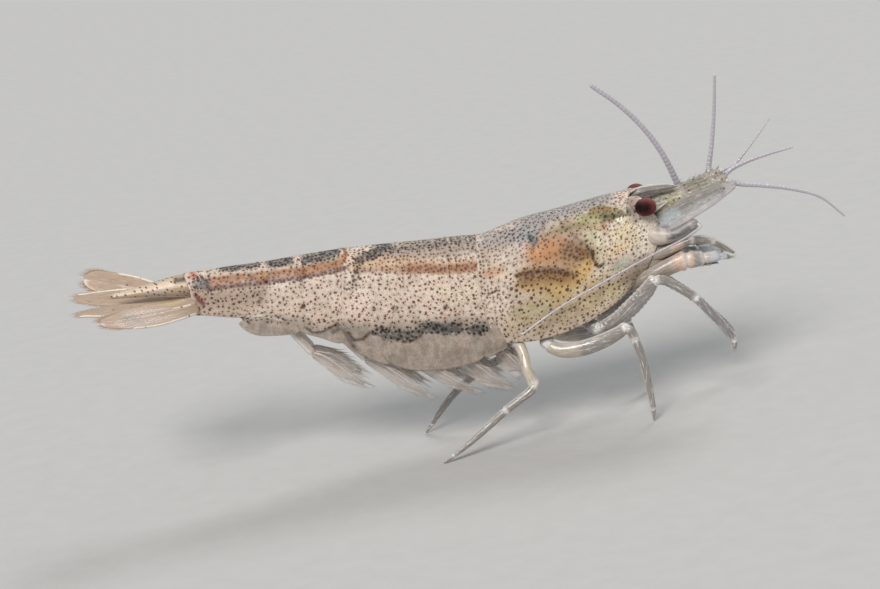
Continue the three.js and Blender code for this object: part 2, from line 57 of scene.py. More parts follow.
azimuth, tilt, roll = np.radians([-3.0, 14.0, 10.0])
AIM = (-3.426, 0.0, 10.425)
CAMERA_DISTANCE = 162.96
backwards = np.array([np.sin(azimuth) * np.cos(tilt), -np.cos(azimuth) * np.cos(tilt), np.sin(tilt)])
lens = bpy.data.cameras.new("side_camera")
lens.lens = 100
lens.sensor_width = 36
lens.clip_start = 0.005
camera = bpy.data.objects.new("side_camera", lens)
look = Vector(-backwards).to_track_quat("-Z", "Y").to_matrix().to_4x4()
stand = Matrix.Translation(Vector(metres(AIM + backwards * CAMERA_DISTANCE)))
camera.matrix_world = stand @ look @ Matrix.Rotation(-roll, 4, "Z")
bpy.context.scene.collection.objects.link(camera)
bpy.context.scene.camera = camera


# ------------------------------------------------------------------------------- floor and lights
# A wide, plain, pale floor of matt card, a broad soft lamp high on the near side, a weaker one
# behind, and an even pale room.
class Finish:
    """A material in the making: each method adds a shader node and gives back its output."""

    def __init__(self, name):
        self.material = bpy.data.materials.new(name)
        self.material.use_nodes = True
        self.tree = self.material.node_tree
        self.shader = self.tree.nodes["Principled BSDF"]

    def feed(self, socket, value):
        """Joins a node's output to a socket, or sets a plain value; a colour gets its alpha of 1."""
        if isinstance(value, bpy.types.NodeSocket):
            self.tree.links.new(value, socket)
        elif socket.type == "RGBA" and len(value) == 3:
            socket.default_value = (*value, 1.0)
        else:
            socket.default_value = value

    def node(self, kind, inputs, **settings):
        made = self.tree.nodes.new("ShaderNode" + kind)
        for key, value in settings.items():
            setattr(made, key, value)
        for key, value in inputs.items():
            self.feed(made.inputs[key], value)
        return made

    def give(self, **inputs):
        """Feeds the shader's own inputs, each named as it is there, with _ for a space."""
        for key, value in inputs.items():
            self.feed(self.shader.inputs[key.replace("_", " ")], value)

    def math(self, operation, first, second):
        return self.node("Math", {0: first, 1: second}, operation=operation).outputs[0]

    def times(self, first, second):
        return self.math("MULTIPLY", first, second)

    def blend(self, share, first, second, mode="MIX"):
        """first where share is 0, second where it is 1."""
        mixed = self.node("Mix", {0: share, 6: first, 7: second}, data_type="RGBA", blend_type=mode)
        return mixed.outputs[2]

    def rise(self, value, low, high, bottom=0.0, top=1.0):
        """Smooth step: bottom below low, top above high."""
        stepped = self.node("MapRange", {0: value, 1: low, 2: high, 3: bottom, 4: top},
                            interpolation_type="SMOOTHSTEP")
        return stepped.outputs[0]

    def place(self, stretch=(1.0, 1.0, 1.0)):
        """The piece's own coordinates in millimetres, with each axis stretched."""
        here = self.node("TexCoord", {}).outputs["Object"]
        scaled = tuple(1000.0 * share for share in stretch)
        return self.node("Mapping", {"Vector": here, "Scale": scaled}).outputs[0]

    def skin_place(self, stretch=(1.0, 1.0, 1.0)):
        """The UV map, which runs over the surface in millimetres, with each axis stretched."""
        here = self.node("TexCoord", {}).outputs["UV"]
        return self.node("Mapping", {"Vector": here, "Scale": stretch}).outputs[0]

    def noise(self, at, per_mm, detail=2.0):
        made = self.node("TexNoise", {"Vector": at, "Scale": per_mm, "Detail": detail})
        return made.outputs["Fac"]

    def cells(self, at, per_mm, randomness=1.0):
        """Scattered points, one to a square of 1 over per_mm: the distance and colour of the nearest."""
        return self.node("TexVoronoi", {"Vector": at, "Scale": per_mm, "Randomness": randomness},
                         voronoi_dimensions="2D").outputs

    def mask(self, name):
        return self.node("Attribute", {}, attribute_name=name).outputs

    def parts(self, colour):
        """The red, green and blue of a colour, one output each."""
        return self.node("SeparateColor", {0: colour}).outputs

    def bump(self, height, millimetres):
        """Raised by so many millimetres where height is 1."""
        return self.node("Bump", {"Height": height, "Strength": 1.0,
                                  "Distance": millimetres / 1000}).outputs[0]


card = Finish("pale_card")
card_grain = card.noise(card.place(), 0.6, 4.0)
card.give(Base_Color=card.blend(card_grain, (0.50, 0.495, 0.48), (0.55, 0.545, 0.53)),
          Normal=card.bump(card_grain, 0.05), Roughness=0.85)

FLOOR_HALF = 2.0
floor_mesh = bpy.data.meshes.new("floor")
floor_mesh.from_pydata([(-FLOOR_HALF, -FLOOR_HALF, 0), (FLOOR_HALF, -FLOOR_HALF, 0),
                        (FLOOR_HALF, FLOOR_HALF, 0), (-FLOOR_HALF, FLOOR_HALF, 0)], [], [(0, 1, 2, 3)])
floor = bpy.data.objects.new("floor", floor_mesh)
floor_mesh.materials.append(card.material)
bpy.context.scene.collection.objects.link(floor)

# name, the way the light falls, how wide the lamp looks in degrees, strength and colour
for lamp_name, falls, looks, strength, tint in (
    ("soft_key", (0.30, 0.85, -0.80), 24, 2.5, (1.0, 0.97, 0.93)),
    ("soft_back", (-0.45, -0.60, -0.80), 20, 0.9, (0.93, 0.96, 1.0)),
):
    lamp = bpy.data.lights.new(lamp_name, "SUN")
    lamp.energy = strength
    lamp.angle = np.radians(looks)
    lamp.color = tint
    holder = bpy.data.objects.new(lamp_name, lamp)
    holder.matrix_world = Vector(falls).to_track_quat("-Z", "Y").to_matrix().to_4x4()
    bpy.context.scene.collection.objects.link(holder)

room = bpy.data.worlds.new("pale_room")
bpy.context.scene.world = room
room.use_nodes = True
room.node_tree.nodes["Background"].inputs[0].default_value = (0.93, 0.96, 1.0, 1.0)
room.node_tree.nodes["Background"].inputs[1].default_value = 0.36
bpy.context.scene.view_settings.view_transform = "Standard"


# ----------------------------------------------------------------------------- tail shell, 6 plates
# Six arched plates of thin, clear horn cover the tail, each lapping over the one behind, and the
# second over both its neighbours. Milky muscle shows through down the flanks; the side plates
# below it are bare and greyer. Dark brown pigment stars pepper the skin under the horn.
def through(pairs, at, swing=False):
    """Smooth curve through rows of (place, value, ...), read at the places in at, as cubic pieces.
    The slope at a row is the harmonic mean of the slopes beside it, and zero at a peak, so it never
    swings past a value. With swing it is their mean, which bends as freely as a path in space."""
    pairs = np.asarray(pairs, float)
    place, value = pairs[:, 0], pairs[:, 1:]
    at = np.clip(at, place[0], place[-1])
    width = np.diff(place)[:, None]
    slope = np.diff(value, axis=0) / width
    before, after = slope[:-1], slope[1:]
    if swing:
        inner = (before * width[1:] + after * width[:-1]) / (width[1:] + width[:-1])
    else:
        same_way = before * after > 0
        inner = np.where(same_way, 2 * before * after / np.where(same_way, before + after, 1), 0)
    tangent = np.vstack([slope[:1], inner, slope[-1:]])
    i = np.clip(np.searchsorted(place, at, side="right") - 1, 0, len(slope) - 1)
    wide = width[i, 0][..., None]
    t = (at - place[i])[..., None] / wide
    r = 1 - t
    result = (value[i] * (1 + 2 * t) * r * r + value[i + 1] * (3 - 2 * t) * t * t
              + wide * t * r * (tangent[i] * r - tangent[i + 1] * t))
    return result[..., 0] if value.shape[1] == 1 else result


def patch(points, uv, closed=False, **masks):
    """A surface over a grid of points: each four neighbours make a face. A closed one has its last
    column joined to its first and a fan of triangles round the middle of each end ring, and is
    turned to face outwards if its volume comes out negative."""
    rows, columns = points.shape[:2]
    index = np.arange(rows * columns).reshape(rows, columns)
    if closed:
        index = np.hstack([index, index[:, :1]])
    corners = lambda grid: [grid[:-1, :-1], grid[:-1, 1:], grid[1:, 1:], grid[1:, :-1]]
    spots = points.reshape(-1, 3)
    masks = {name: np.asarray(mask, float).reshape(rows * columns, -1) for name, mask in masks.items()}
    quads = np.stack(corners(index), -1).reshape(-1, 4)
    quad_uv = np.stack(corners(uv), -2).reshape(-1, 4, 2)
    fans, fan_uv = np.zeros((0, 3), int), np.zeros((0, 3, 2))
    if closed:
        last = np.full(columns, rows * columns)
        fans = np.vstack([np.stack([index[0, 1:], index[0, :-1], last], -1),
                          np.stack([index[-1, :-1], index[-1, 1:], last + 1], -1)])
        fan_uv = np.vstack([np.stack([uv[0, 1:], uv[0, :-1], uv[0, 1:]], 1),
                            np.stack([uv[-1, :-1], uv[-1, 1:], uv[-1, :-1]], 1)])
        spots = np.vstack([spots, points[[0, -1]].mean(1)])
        ends = index[[0, -1], :columns]
        masks = {name: np.vstack([mask, mask[ends].mean(1)]) for name, mask in masks.items()}
        triangles = np.vstack([quads[:, :3], quads[:, [0, 2, 3]], fans])
        a, b, c = (spots[triangles[:, k]] for k in range(3))
        if (a * np.cross(b, c)).sum() < 0:
            quads, quad_uv, fans, fan_uv = (grid[:, ::-1] for grid in (quads, quad_uv, fans, fan_uv))
    return {"spots": spots, "quads": quads, "quad_uv": quad_uv, "fans": fans, "fan_uv": fan_uv,
            "masks": masks}


def build(name, parts, material, slot, *nodes):
    """One piece from its patches: their points, faces and UV maps are strung together, and each
    mask becomes a point attribute, 0 on the patches without it. It stands for the solids named."""
    first = np.cumsum([0] + [len(part["spots"]) for part in parts])
    quads = np.vstack([part["quads"] + start for part, start in zip(parts, first)])
    fans = np.vstack([part["fans"] + start for part, start in zip(parts, first)])
    mesh = bpy.data.meshes.new(name)
    mesh.vertices.add(first[-1])
    mesh.vertices.foreach_set("co", metres(np.vstack([part["spots"] for part in parts])).ravel())
    mesh.loops.add(quads.size + fans.size)
    mesh.loops.foreach_set("vertex_index", np.r_[quads.ravel(), fans.ravel()])
    mesh.polygons.add(len(quads) + len(fans))
    starts = np.r_[np.arange(len(quads)) * 4, quads.size + np.arange(len(fans)) * 3]
    mesh.polygons.foreach_set("loop_start", starts)
    mesh.polygons.foreach_set("use_smooth", np.ones(len(starts), bool))
    mesh.update(calc_edges=True)
    uv = mesh.uv_layers.new(name="skin_mm")
    uv.data.foreach_set("uv", np.r_[np.concatenate([part["quad_uv"] for part in parts]).ravel(),
                                    np.concatenate([part["fan_uv"] for part in parts]).ravel()])
    for mask in sorted({key for part in parts for key in part["masks"]}):
        wide = max(part["masks"][mask].shape[1] for part in parts if mask in part["masks"])
        values = np.vstack([part["masks"].get(mask, np.zeros((len(part["spots"]), wide)))
                            for part in parts])
        kind, field = ("FLOAT", "value") if wide == 1 else ("FLOAT_COLOR", "color")
        mesh.attributes.new(mask, kind, "POINT").data.foreach_set(field, values.ravel())
    mesh.materials.append(material)
    piece = bpy.data.objects.new(name, mesh)
    bpy.context.scene.collection.objects.link(piece)
    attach(piece, "root")
    if nodes:
        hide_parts(*nodes)
    return piece


# Along x: height of the back ridge, of the flesh underneath, of the plates' lower edge, and half
# the body's width.
BACK = [(-19.3, 14.95), (-16.8, 14.87), (-14.7, 14.75), (-12, 14.72), (-9.4, 14.65), (-7.3, 14.5),
        (-5.4, 14.32), (-2.8, 14.1), (-1.4, 14), (-0.2, 13.85), (1.3, 14.12), (2.7, 14.42), (5.5, 14.65),
        (8.3, 14.9), (10.3, 15.02), (11.5, 14.8)]
BELLY = [(-19.3, 12.75), (-15.3, 11.35), (-13, 10.5), (-9.8, 9.5), (-6.6, 8.55), (-3.4, 7.8), (0, 7.3),
         (4, 7.2), (6.5, 7.9), (9, 9.3), (11.5, 10.9)]
HALF_WIDTH = [(-19.3, 1.05), (-15.3, 1.45), (-13, 1.75), (-10, 2.1), (-6, 2.45), (-3, 2.55), (0, 2.55),
              (3, 2.8), (6, 2.8), (9, 2.35), (11.5, 1.6)]
TAIL_EDGE = [(-19.3, 12.9), (-16.95, 10.9), (-15.5, 10.25), (-13.7, 10), (-12.4, 9.75), (-10.6, 8.8),
             (-9.6, 8.1), (-7.25, 6.6), (-4.9, 6.05), (-3.25, 5.95), (-1.8, 5.95), (-0.3, 6.4)]
LAST_EDGE = [(-19.5, 12.42), (-18.1, 12.05), (-16.8, 11.75), (-15, 11.55)]  # the sixth plate's
# Seams, x along z, from the carapace's rear edge to the root of the tail fan.
SEAMS = [
    [(6.5, 0.1), (8.6, -0.4), (10.7, -0.6), (12.7, -0.4), (14, -0.1)],
    [(6, -1.2), (8, -1.4), (10, -2.1), (12, -2.5), (14, -2.2)],
    [(6.5, -7.6), (8, -7.3), (10, -6.6), (12, -5.9), (14.2, -5.5)],
    [(8, -10.6), (10, -10.1), (12, -9.6), (14.5, -9.2)],
    [(9, -13.1), (10.5, -12.8), (12.5, -12.4), (14.6, -12)],
    [(10.4, -17), (11.3, -16.6), (12, -15.7), (13, -15), (14.7, -14.7)],
    [(12.6, -19.2), (14, -19.3), (15, -19.5)],
]
ARCH = 0.68 * np.pi  # how far round a plate reaches from the ridge


def arched(rear_at, front_at, edge_at, share, round_by, lift):
    """Points of an arched plate. share runs from the rear edge (0) to the front (1), round_by from
    the lower right edge (-1) over the ridge to the lower left (1). At each x the section is an arc
    of an ellipse through the ridge and the lower edge, and x itself depends on height, because
    the seams lean, so both are worked out in turn until they agree. lift moves the shell outwards."""
    down = np.abs(round_by)
    x, z = np.zeros_like(share), np.full_like(share, 10.0)
    for _ in range(8):
        x = (1 - share) * rear_at(z, down) + share * front_at(z, down)
        top = through(BACK, x) + lift
        z = top - (top - edge_at(x, share) + lift) * (1 - np.cos(down * ARCH)) / (1 - np.cos(ARCH))
    y = (through(HALF_WIDTH, x) + lift) * np.sin(down * ARCH) * np.sign(round_by)
    return np.stack([x, y, z], -1)


def near_line(x, z, points, reach):
    """1 on the line through the points and 0.5 at its half width, which is one number, or one
    along x and one along z: 0.5 to the power of the distance, in half widths, cubed."""
    size = np.array(reach if isinstance(reach, tuple) else (reach, reach))
    line = np.array(points if len(points) > 1 else list(points) * 2, float) / size
    spot = np.stack([x, z], -1) / size
    near = np.full(x.shape, np.inf)
    for a, b in zip(line[:-1], line[1:]):
        along = np.clip(((spot - a) @ (b - a)) / max((b - a) @ (b - a), 1e-9), 0, 1)
        near = np.minimum(near, np.linalg.norm(spot - a - along[..., None] * (b - a), axis=-1))
    return 0.5 ** (near ** 3)


def glaze(dye_and_painted_light, share, tint):
    """A mark's colour, which is red, green, blue and strength, pigment and painted light alike, with a coat
    of tint over it, share strong.
    """
    strength = dye_and_painted_light[..., 3]
    total = share + strength * (1 - share)
    mixed = np.array(tint) * share[..., None] + dye_and_painted_light[..., :3] * (strength * (1 - share))[..., None]
    return np.concatenate([mixed / np.maximum(total, 1e-6)[..., None], total[..., None]], -1)


def stains_and_painted_light_at(x, z, marks):
    """The colour at x, z, pigment and painted light and shade alike, from marks of (points, half width,
    colour, strength), laid on in turn.
    """
    dye_and_painted_light = np.zeros(x.shape + (4,))
    for points, reach, tint, power in marks:
        dye_and_painted_light = glaze(dye_and_painted_light, power * near_line(x, z, points, reach), tint)
    return dye_and_painted_light


def gathered(x, z, marks):
    """Strength alone, from marks of (points, half width, strength), never over 1."""
    left = np.ones_like(x)
    for points, reach, power in marks:
        left *= 1 - power * near_line(x, z, points, reach)
    return 1 - left


def ramp(value, low, high):
    """Straight rise from 0 at low to 1 at high, or a fall where low is the greater."""
    return np.clip((value - low) / (high - low), 0, 1)


def between(value, low, high, soft):
    """1 from low to high and 0 outside, passing through 0.5 at each over twice soft."""
    return ramp(value, low - soft, low + soft) * ramp(value, high + soft, high - soft)


def halving(distance, width):
    """1 at no distance and 0.5 at the width: 0.5 to the power of their ratio squared."""
    return 0.5 ** ((distance / width) ** 2)


def bell(distance, width):
    """1 at no distance, falling off as e to the power of minus the ratio to the width squared."""
    return np.exp(-(distance / width) ** 2)


def heaped(x, z, marks):
    """The sum of marks of (points, half width, strength), which may be negative."""
    return sum(power * near_line(x, z, points, reach) for points, reach, power in marks)


def shell_grid(rows, columns):
    """For arched: share from rear to front, round_by from the lower right edge to the lower left,
    and how far down each point lies, from 0 on the ridge to 1."""
    share, round_by = np.meshgrid(np.linspace(0, 1, rows), np.linspace(-1, 1, columns), indexing="ij")
    return share, round_by, np.abs(round_by)


def shell_patch(points, stain, clear, crowd, coarse, ink):
    """A plate's patch: its UV map runs along x and round the arch from the ridge, and its masks hold the
    painted pigment, with some painted shade and light among it, and how clear, how thick with stars, how
    coarsely starred and how inky it is."""
    steps = np.linalg.norm(np.diff(points, axis=1), axis=-1)
    round_mm = np.concatenate([np.zeros((len(steps), 1)), np.cumsum(steps, axis=1)], axis=1)
    round_mm -= round_mm[:, [steps.shape[1] // 2]]
    grain = np.clip(np.stack([clear, crowd, coarse, ink], -1), 0, 1)
    return patch(points, np.stack([points[..., 0], round_mm], -1), stain=stain, grain=grain)


# Pigments, as the share of red, green and blue light that they throw back.
ORANGE, RUST = (0.50, 0.235, 0.105), (0.26, 0.10, 0.035)
INK, SLATE, LILAC = (0.012, 0.014, 0.016), (0.042, 0.054, 0.060), (0.34, 0.33, 0.335)
CREAM, YELLOW, OLIVE = (0.66, 0.57, 0.40), (0.66, 0.44, 0.165), (0.13, 0.11, 0.035)
BROWN, SALMON, PINK = (0.09, 0.05, 0.03), (0.62, 0.26, 0.19), (0.70, 0.55, 0.47)
PEACH, SAGE = (0.64, 0.44, 0.28), (0.50, 0.48, 0.35)

# Where the muscle ends above the bare side plates: z along x. Below it, each mark is a line of x, z,
# its half width (along x and along z where they differ), its colour and its strength, laid on in
# turn; the marks of crowding and of ink have no colour.
MUSCLE_EDGE = [(-19.3, 12.3), (-17, 11.95), (-15.4, 11.7), (-14.5, 11.5), (-12.9, 11.05), (-11, 10.4),
               (-10, 10.4), (-9, 10.2), (-8.1, 10), (-6.4, 9.7), (-3.8, 9.5), (-1.9, 9.2), (0, 8.6)]
TAIL_MARKS = [
    ([(-18.8, 13.5), (-15.5, 13.2)], (1.2, 1.0), (0.40, 0.30, 0.235), 0.75),
    ([(-5.8, 13.9), (-2.0, 13.6), (0.0, 13.5)], (1.4, 0.55), (0.36, 0.295, 0.25), 0.8),
    ([(-15.6, 14.1), (-12.3, 13.94), (-9.7, 14.0)], 0.26, (0.29, 0.13, 0.065), 0.97),
    ([(-18.3, 14.30), (-16.2, 14.2)], 0.26, (0.38, 0.165, 0.07), 0.97),
    ([(-13.4, 14.1), (-12.7, 14.0)], (0.4, 0.16), ORANGE, 0.7),
    ([(-11.6, 14.0), (-10.6, 13.95)], (0.4, 0.16), ORANGE, 0.6),
    ([(-18.4, 14), (-15.7, 13.8), (-12.4, 13.6), (-10.1, 13.58), (-9.2, 13.72)], 0.14,
     (0.13, 0.04, 0.025), 0.8),
    ([(-15.0, 14.2), (-14.6, 14.15)], (0.2, 0.12), YELLOW, 0.5),
    ([(-10.2, 14.33), (-9.7, 14.35)], (0.3, 0.16), SAGE, 0.8),
    ([(-8.75, 14.35), (-8.9, 14.0)], (0.28, 0.3), PINK, 0.8),
    ([(-8.6, 13.75), (-7.1, 13.55), (-5.1, 13.1), (-3.3, 12.65), (-1.2, 12.35), (0, 12.3)], 0.42, PEACH, 0.8),
    ([(-8.6, 13.35), (-7.3, 13.15), (-5.9, 12.95), (-4.8, 12.85)], 0.24, (0.34, 0.18, 0.12), 0.6),
    ([(-5.2, 12.95), (-3.3, 12.55), (-2.3, 12.4), (-1.0, 12.3)], 0.27, (0.29, 0.115, 0.045), 0.95),
    ([(-3.7, 12.6), (-2.7, 12.45)], 0.18, RUST, 0.7),
    ([(-9.8, 13.95), (-9.35, 14.12), (-9.13, 14.38), (-9.2, 14.68)], 0.10, RUST, 1.0),
    ([(-9.7, 14.05), (-9.3, 14.3)], 0.16, ORANGE, 0.85),
    ([(-9.5, 11.4), (-8.6, 11.6)], (0.9, 0.8), (0.84, 0.66, 0.57), 0.6),
    ([(-3.5, 11.2), (-1.3, 10.8)], (1.0, 0.8), (0.80, 0.66, 0.52), 0.5),
    ([(-19.25, 14.85)], (0.3, 0.22), SALMON, 0.8),
    ([(-19.3, 13.75), (-19.15, 13.35), (-18.9, 13.1)], 0.13, (0.16, 0.02, 0.02), 0.95),
    ([(-12.5, 10.3), (-12.2, 9.95), (-11.6, 9.9), (-11.0, 10.1), (-10.5, 10.35)], 0.11, BROWN, 0.8),
    ([(-9.9, 9.6), (-9.6, 9.0), (-9.0, 9.0), (-8.5, 9.4)], 0.12, BROWN, 0.8),
    ([(-6.5, 8.4), (-6.0, 8.3), (-5.5, 8.5), (-5.1, 8.7)], 0.12, BROWN, 0.75),
    # Painted shadow: a dark grey line for the shade in the fold between the third and fourth side plates.
    ([(-10.9, 9.7), (-10.4, 10.1), (-10.0, 9.3), (-9.6, 8.2)], 0.14, (0.13, 0.12, 0.11), 0.7),
    ([(-14.9, 11.0), (-13.6, 10.6), (-12.9, 10.2)], 0.16, PINK, 0.5),
    ([(-16.8, 11.85), (-15.2, 11.65), (-14.0, 11.1)], 0.07, (0.84, 0.78, 0.70), 0.8),
    ([(-11.7, 10.9)], 0.3, SALMON, 0.3),
    ([(-8.5, 10.3)], 0.3, SALMON, 0.3),
    ([(-3.5, 9.7)], 0.3, SALMON, 0.3),
    ([(-2.8, 7.4)], 0.35, SALMON, 0.3),
    ([(-15.3, 12.62)], 0.13, BROWN, 0.8),
    ([(-12.5, 11.84)], 0.19, BROWN, 0.95),
    ([(-10.3, 11.1)], 0.11, BROWN, 0.7),
    ([(-6.65, 10.68)], 0.19, BROWN, 0.95),
    ([(-3.36, 10.15)], 0.17, BROWN, 0.95),
]
TAIL_CROWD = [
    ([(-18.3, 13.95), (-12.3, 13.65), (-9.5, 13.75)], 0.32, 0.45),
    ([(-8.6, 13.3), (-4.8, 12.85), (-1.0, 12.2)], 0.4, 0.3),
    ([(-8.4, 13.6), (-8.9, 12.6)], 0.6, 0.5),
]
TAIL_INK = [
    ([(-18.95, 14.35), (-18.6, 14.3)], (0.46, 0.40), 1.0),
    ([(-17.1, 14.86), (-16.2, 14.8)], (0.45, 0.17), 1.0),
    ([(-15.6, 14.8), (-15.1, 14.72)], (0.35, 0.17), 0.9),
    ([(-14.1, 14.66), (-12.9, 14.6)], (0.35, 0.22), 1.0),
    ([(-11.8, 14.5), (-10.9, 14.5), (-9.8, 14.62)], (0.35, 0.26), 1.0),
    ([(-8.3, 14.0), (-7.6, 14.05), (-6.5, 14.4)], (0.4, 0.28), 1.0),
    ([(-8.5, 13.7), (-8.8, 12.9), (-9.1, 12.4)], (0.34, 0.3), 0.55),
    ([(-18.4, 13.85), (-15.7, 13.65), (-12.4, 13.45)], 0.12, 0.4),
    ([(-12.2, 13.5), (-12.3, 13.2)], 0.2, 0.5),
    ([(-5.6, 14.15), (-2.4, 13.9), (-0.6, 13.8)], (0.9, 0.22), 0.55),
    ([(-7.9, 9.3), (-7.0, 8.9), (-5.9, 8.75)], (0.5, 0.42), 0.85),
    ([(-4.9, 9.1), (-3.6, 8.75), (-2.9, 8.6)], (0.45, 0.40), 1.0),
    ([(-1.9, 8.4), (-1.2, 8.2)], (0.45, 0.36), 0.95),
]


def speckled(name, bare_colour, see_through):
    """The living shell: milky cream in soft patches, the painted marks, mostly pigment with some painted
    shade and light among them, with ragged edges, fine reddish specks, a web of pale lines, then pigment
    stars, whose size and number follow the grain mask. Where the mask says clear it is bare_colour and lets
    light through. A thin wet gloss lies over it."""
    skin = Finish(name)
    at = skin.skin_place()
    wander = skin.node("TexNoise", {"Vector": at, "Scale": 5.0, "Detail": 1.0}).outputs["Color"]
    shift = skin.node("VectorMath", {0: wander, 1: (0.5, 0.5, 0.5)}, operation="SUBTRACT").outputs[0]
    shift = skin.node("VectorMath", {0: shift, "Scale": 0.14}, operation="SCALE").outputs[0]
    ragged = skin.node("VectorMath", {0: at, 1: shift}).outputs[0]
    clouds, hues = skin.noise(at, 0.6, 3.0), skin.noise(at, 1.4, 2.0)
    flecks = skin.noise(at, 4.6, 3.0)
    grain_mask = skin.mask("grain")
    clear, crowd, coarse = skin.parts(grain_mask["Color"])[:3]
    ink = grain_mask["Alpha"]
    milk = skin.blend(skin.rise(clouds, 0.38, 0.62), (0.53, 0.42, 0.335), (0.66, 0.515, 0.425))
    milk = skin.blend(skin.rise(hues, 0.55, 0.7, 0.0, 0.6), milk, (0.70, 0.54, 0.47))
    milk = skin.blend(skin.rise(hues, 0.45, 0.3, 0.0, 0.6), milk, (0.52, 0.46, 0.35))
    milk = skin.blend(skin.rise(flecks, 0.46, 0.30, 0.0, 0.6), milk, (0.38, 0.29, 0.225))
    milk = skin.blend(skin.rise(flecks, 0.58, 0.72, 0.0, 0.5), milk, (0.80, 0.70, 0.60))
    veins = skin.noise(skin.skin_place((1.6, 0.8, 1.0)), 1.1, 4.0)
    bare = skin.blend(skin.rise(veins, 0.35, 0.65), tuple(0.82 * c for c in bare_colour),
                      tuple(1.25 * c for c in bare_colour))
    ground = skin.blend(clear, milk, bare)
    stain = skin.mask("stain")
    mottle = skin.times(skin.math("SUBTRACT", flecks, 0.5), 0.8)
    painted = skin.rise(skin.math("ADD", stain["Alpha"], mottle), 0.10, 0.92)
    paint = skin.blend(skin.rise(hues, 0.4, 0.6), stain["Color"], (0.86, 0.84, 0.80), "MULTIPLY")
    colour = skin.blend(painted, ground, paint)
    specks = skin.rise(skin.cells(at, 5.0)["Distance"], 0.30, 0.16, 0.0, 0.5)
    colour = skin.blend(specks, colour, (0.30, 0.165, 0.12))
    smear = skin.rise(skin.math("ADD", ink, skin.times(mottle, 2.4)), 0.3, 1.1, 0.0, 0.85)
    colour = skin.blend(smear, colour, skin.blend(skin.rise(flecks, 0.44, 0.60), INK, SLATE))

    def stars(spacing, radius):
        """Pigment stars: dark within the radius of the nearest of the scattered points, of which
        there is one to a square of the spacing, each a little larger or smaller and the larger the
        inkier. Also the pale web that runs midway between them."""
        nearest = skin.cells(ragged, 1 / spacing, 0.85)
        away, chance = nearest["Distance"], skin.parts(nearest["Color"])
        size = skin.times(skin.math("POWER", chance[0], 2.0), 0.55)
        size = skin.times(skin.math("ADD", size, 0.70), radius / spacing)
        size = skin.times(size, skin.rise(ink, 0.0, 0.7, 1.0, 1.6))
        core, rim = skin.times(size, 0.62), skin.times(size, 1.2)
        dark = skin.node("MapRange", {0: away, 1: core, 2: rim, 3: 1.0, 4: 0.0}).outputs[0]
        return dark, skin.rise(away, 0.40, 0.66)

    sparse = skin.node("CombineColor", dict(enumerate(stars(0.33, 0.080)))).outputs[0]
    dense = skin.node("CombineColor", dict(enumerate(stars(0.255, 0.064)))).outputs[0]
    large = skin.node("CombineColor", dict(enumerate(stars(0.40, 0.114)))).outputs[0]
    is_dense, is_large = skin.rise(crowd, 0.62, 0.78), skin.rise(coarse, 0.35, 0.60)
    both = skin.parts(skin.blend(is_large, skin.blend(is_dense, sparse, dense), large))
    thinned = skin.rise(skin.math("ADD", crowd, skin.times(hues, 0.3)), 0.25, 0.45)
    dark = skin.times(both[0], thinned)
    web = skin.times(both[1], skin.rise(crowd, 0.3, 0.9, 0.10, 0.5))
    web = skin.times(web, skin.rise(stain["Alpha"], 0.3, 0.95, 1.0, 0.2))
    web = skin.times(web, skin.rise(skin.math("MAXIMUM", ink, coarse), 0.1, 0.6, 1.0, 0.12))
    colour = skin.blend(web, colour, (0.84, 0.78, 0.71))
    star_colour = skin.blend(0.97, colour, (0.15, 0.065, 0.045), "MULTIPLY")
    star_colour = skin.blend(skin.times(ink, 0.8), star_colour, INK)
    colour = skin.blend(skin.times(dark, 0.95), colour, star_colour)
    relief = skin.math("SUBTRACT", skin.times(flecks, 0.6), skin.times(dark, 0.25))
    skin.give(Base_Color=colour, Roughness=skin.rise(flecks, 0.2, 0.8, 0.38, 0.52),
              Alpha=skin.rise(clear, 0.0, 1.0, 1.0, see_through), Normal=skin.bump(relief, 0.035),
              Subsurface_Weight=0.15, Subsurface_Radius=(1.0, 0.65, 0.45), Subsurface_Scale=0.0004,
              Specular_IOR_Level=0.35, Coat_Weight=0.10, Coat_Roughness=0.25)
    return skin.material


shell_finish = speckled("speckled_shell", (0.40, 0.335, 0.28), 0.74)
WALL = 0.1  # thickness of the horn


def walled(piece):
    """Gives an open surface its thickness, inwards, and closes its rim."""
    wall = piece.modifiers.new("thickness", "SOLIDIFY")
    wall.thickness = WALL / 1000
    wall.offset = -1
    wall.use_even_offset = True


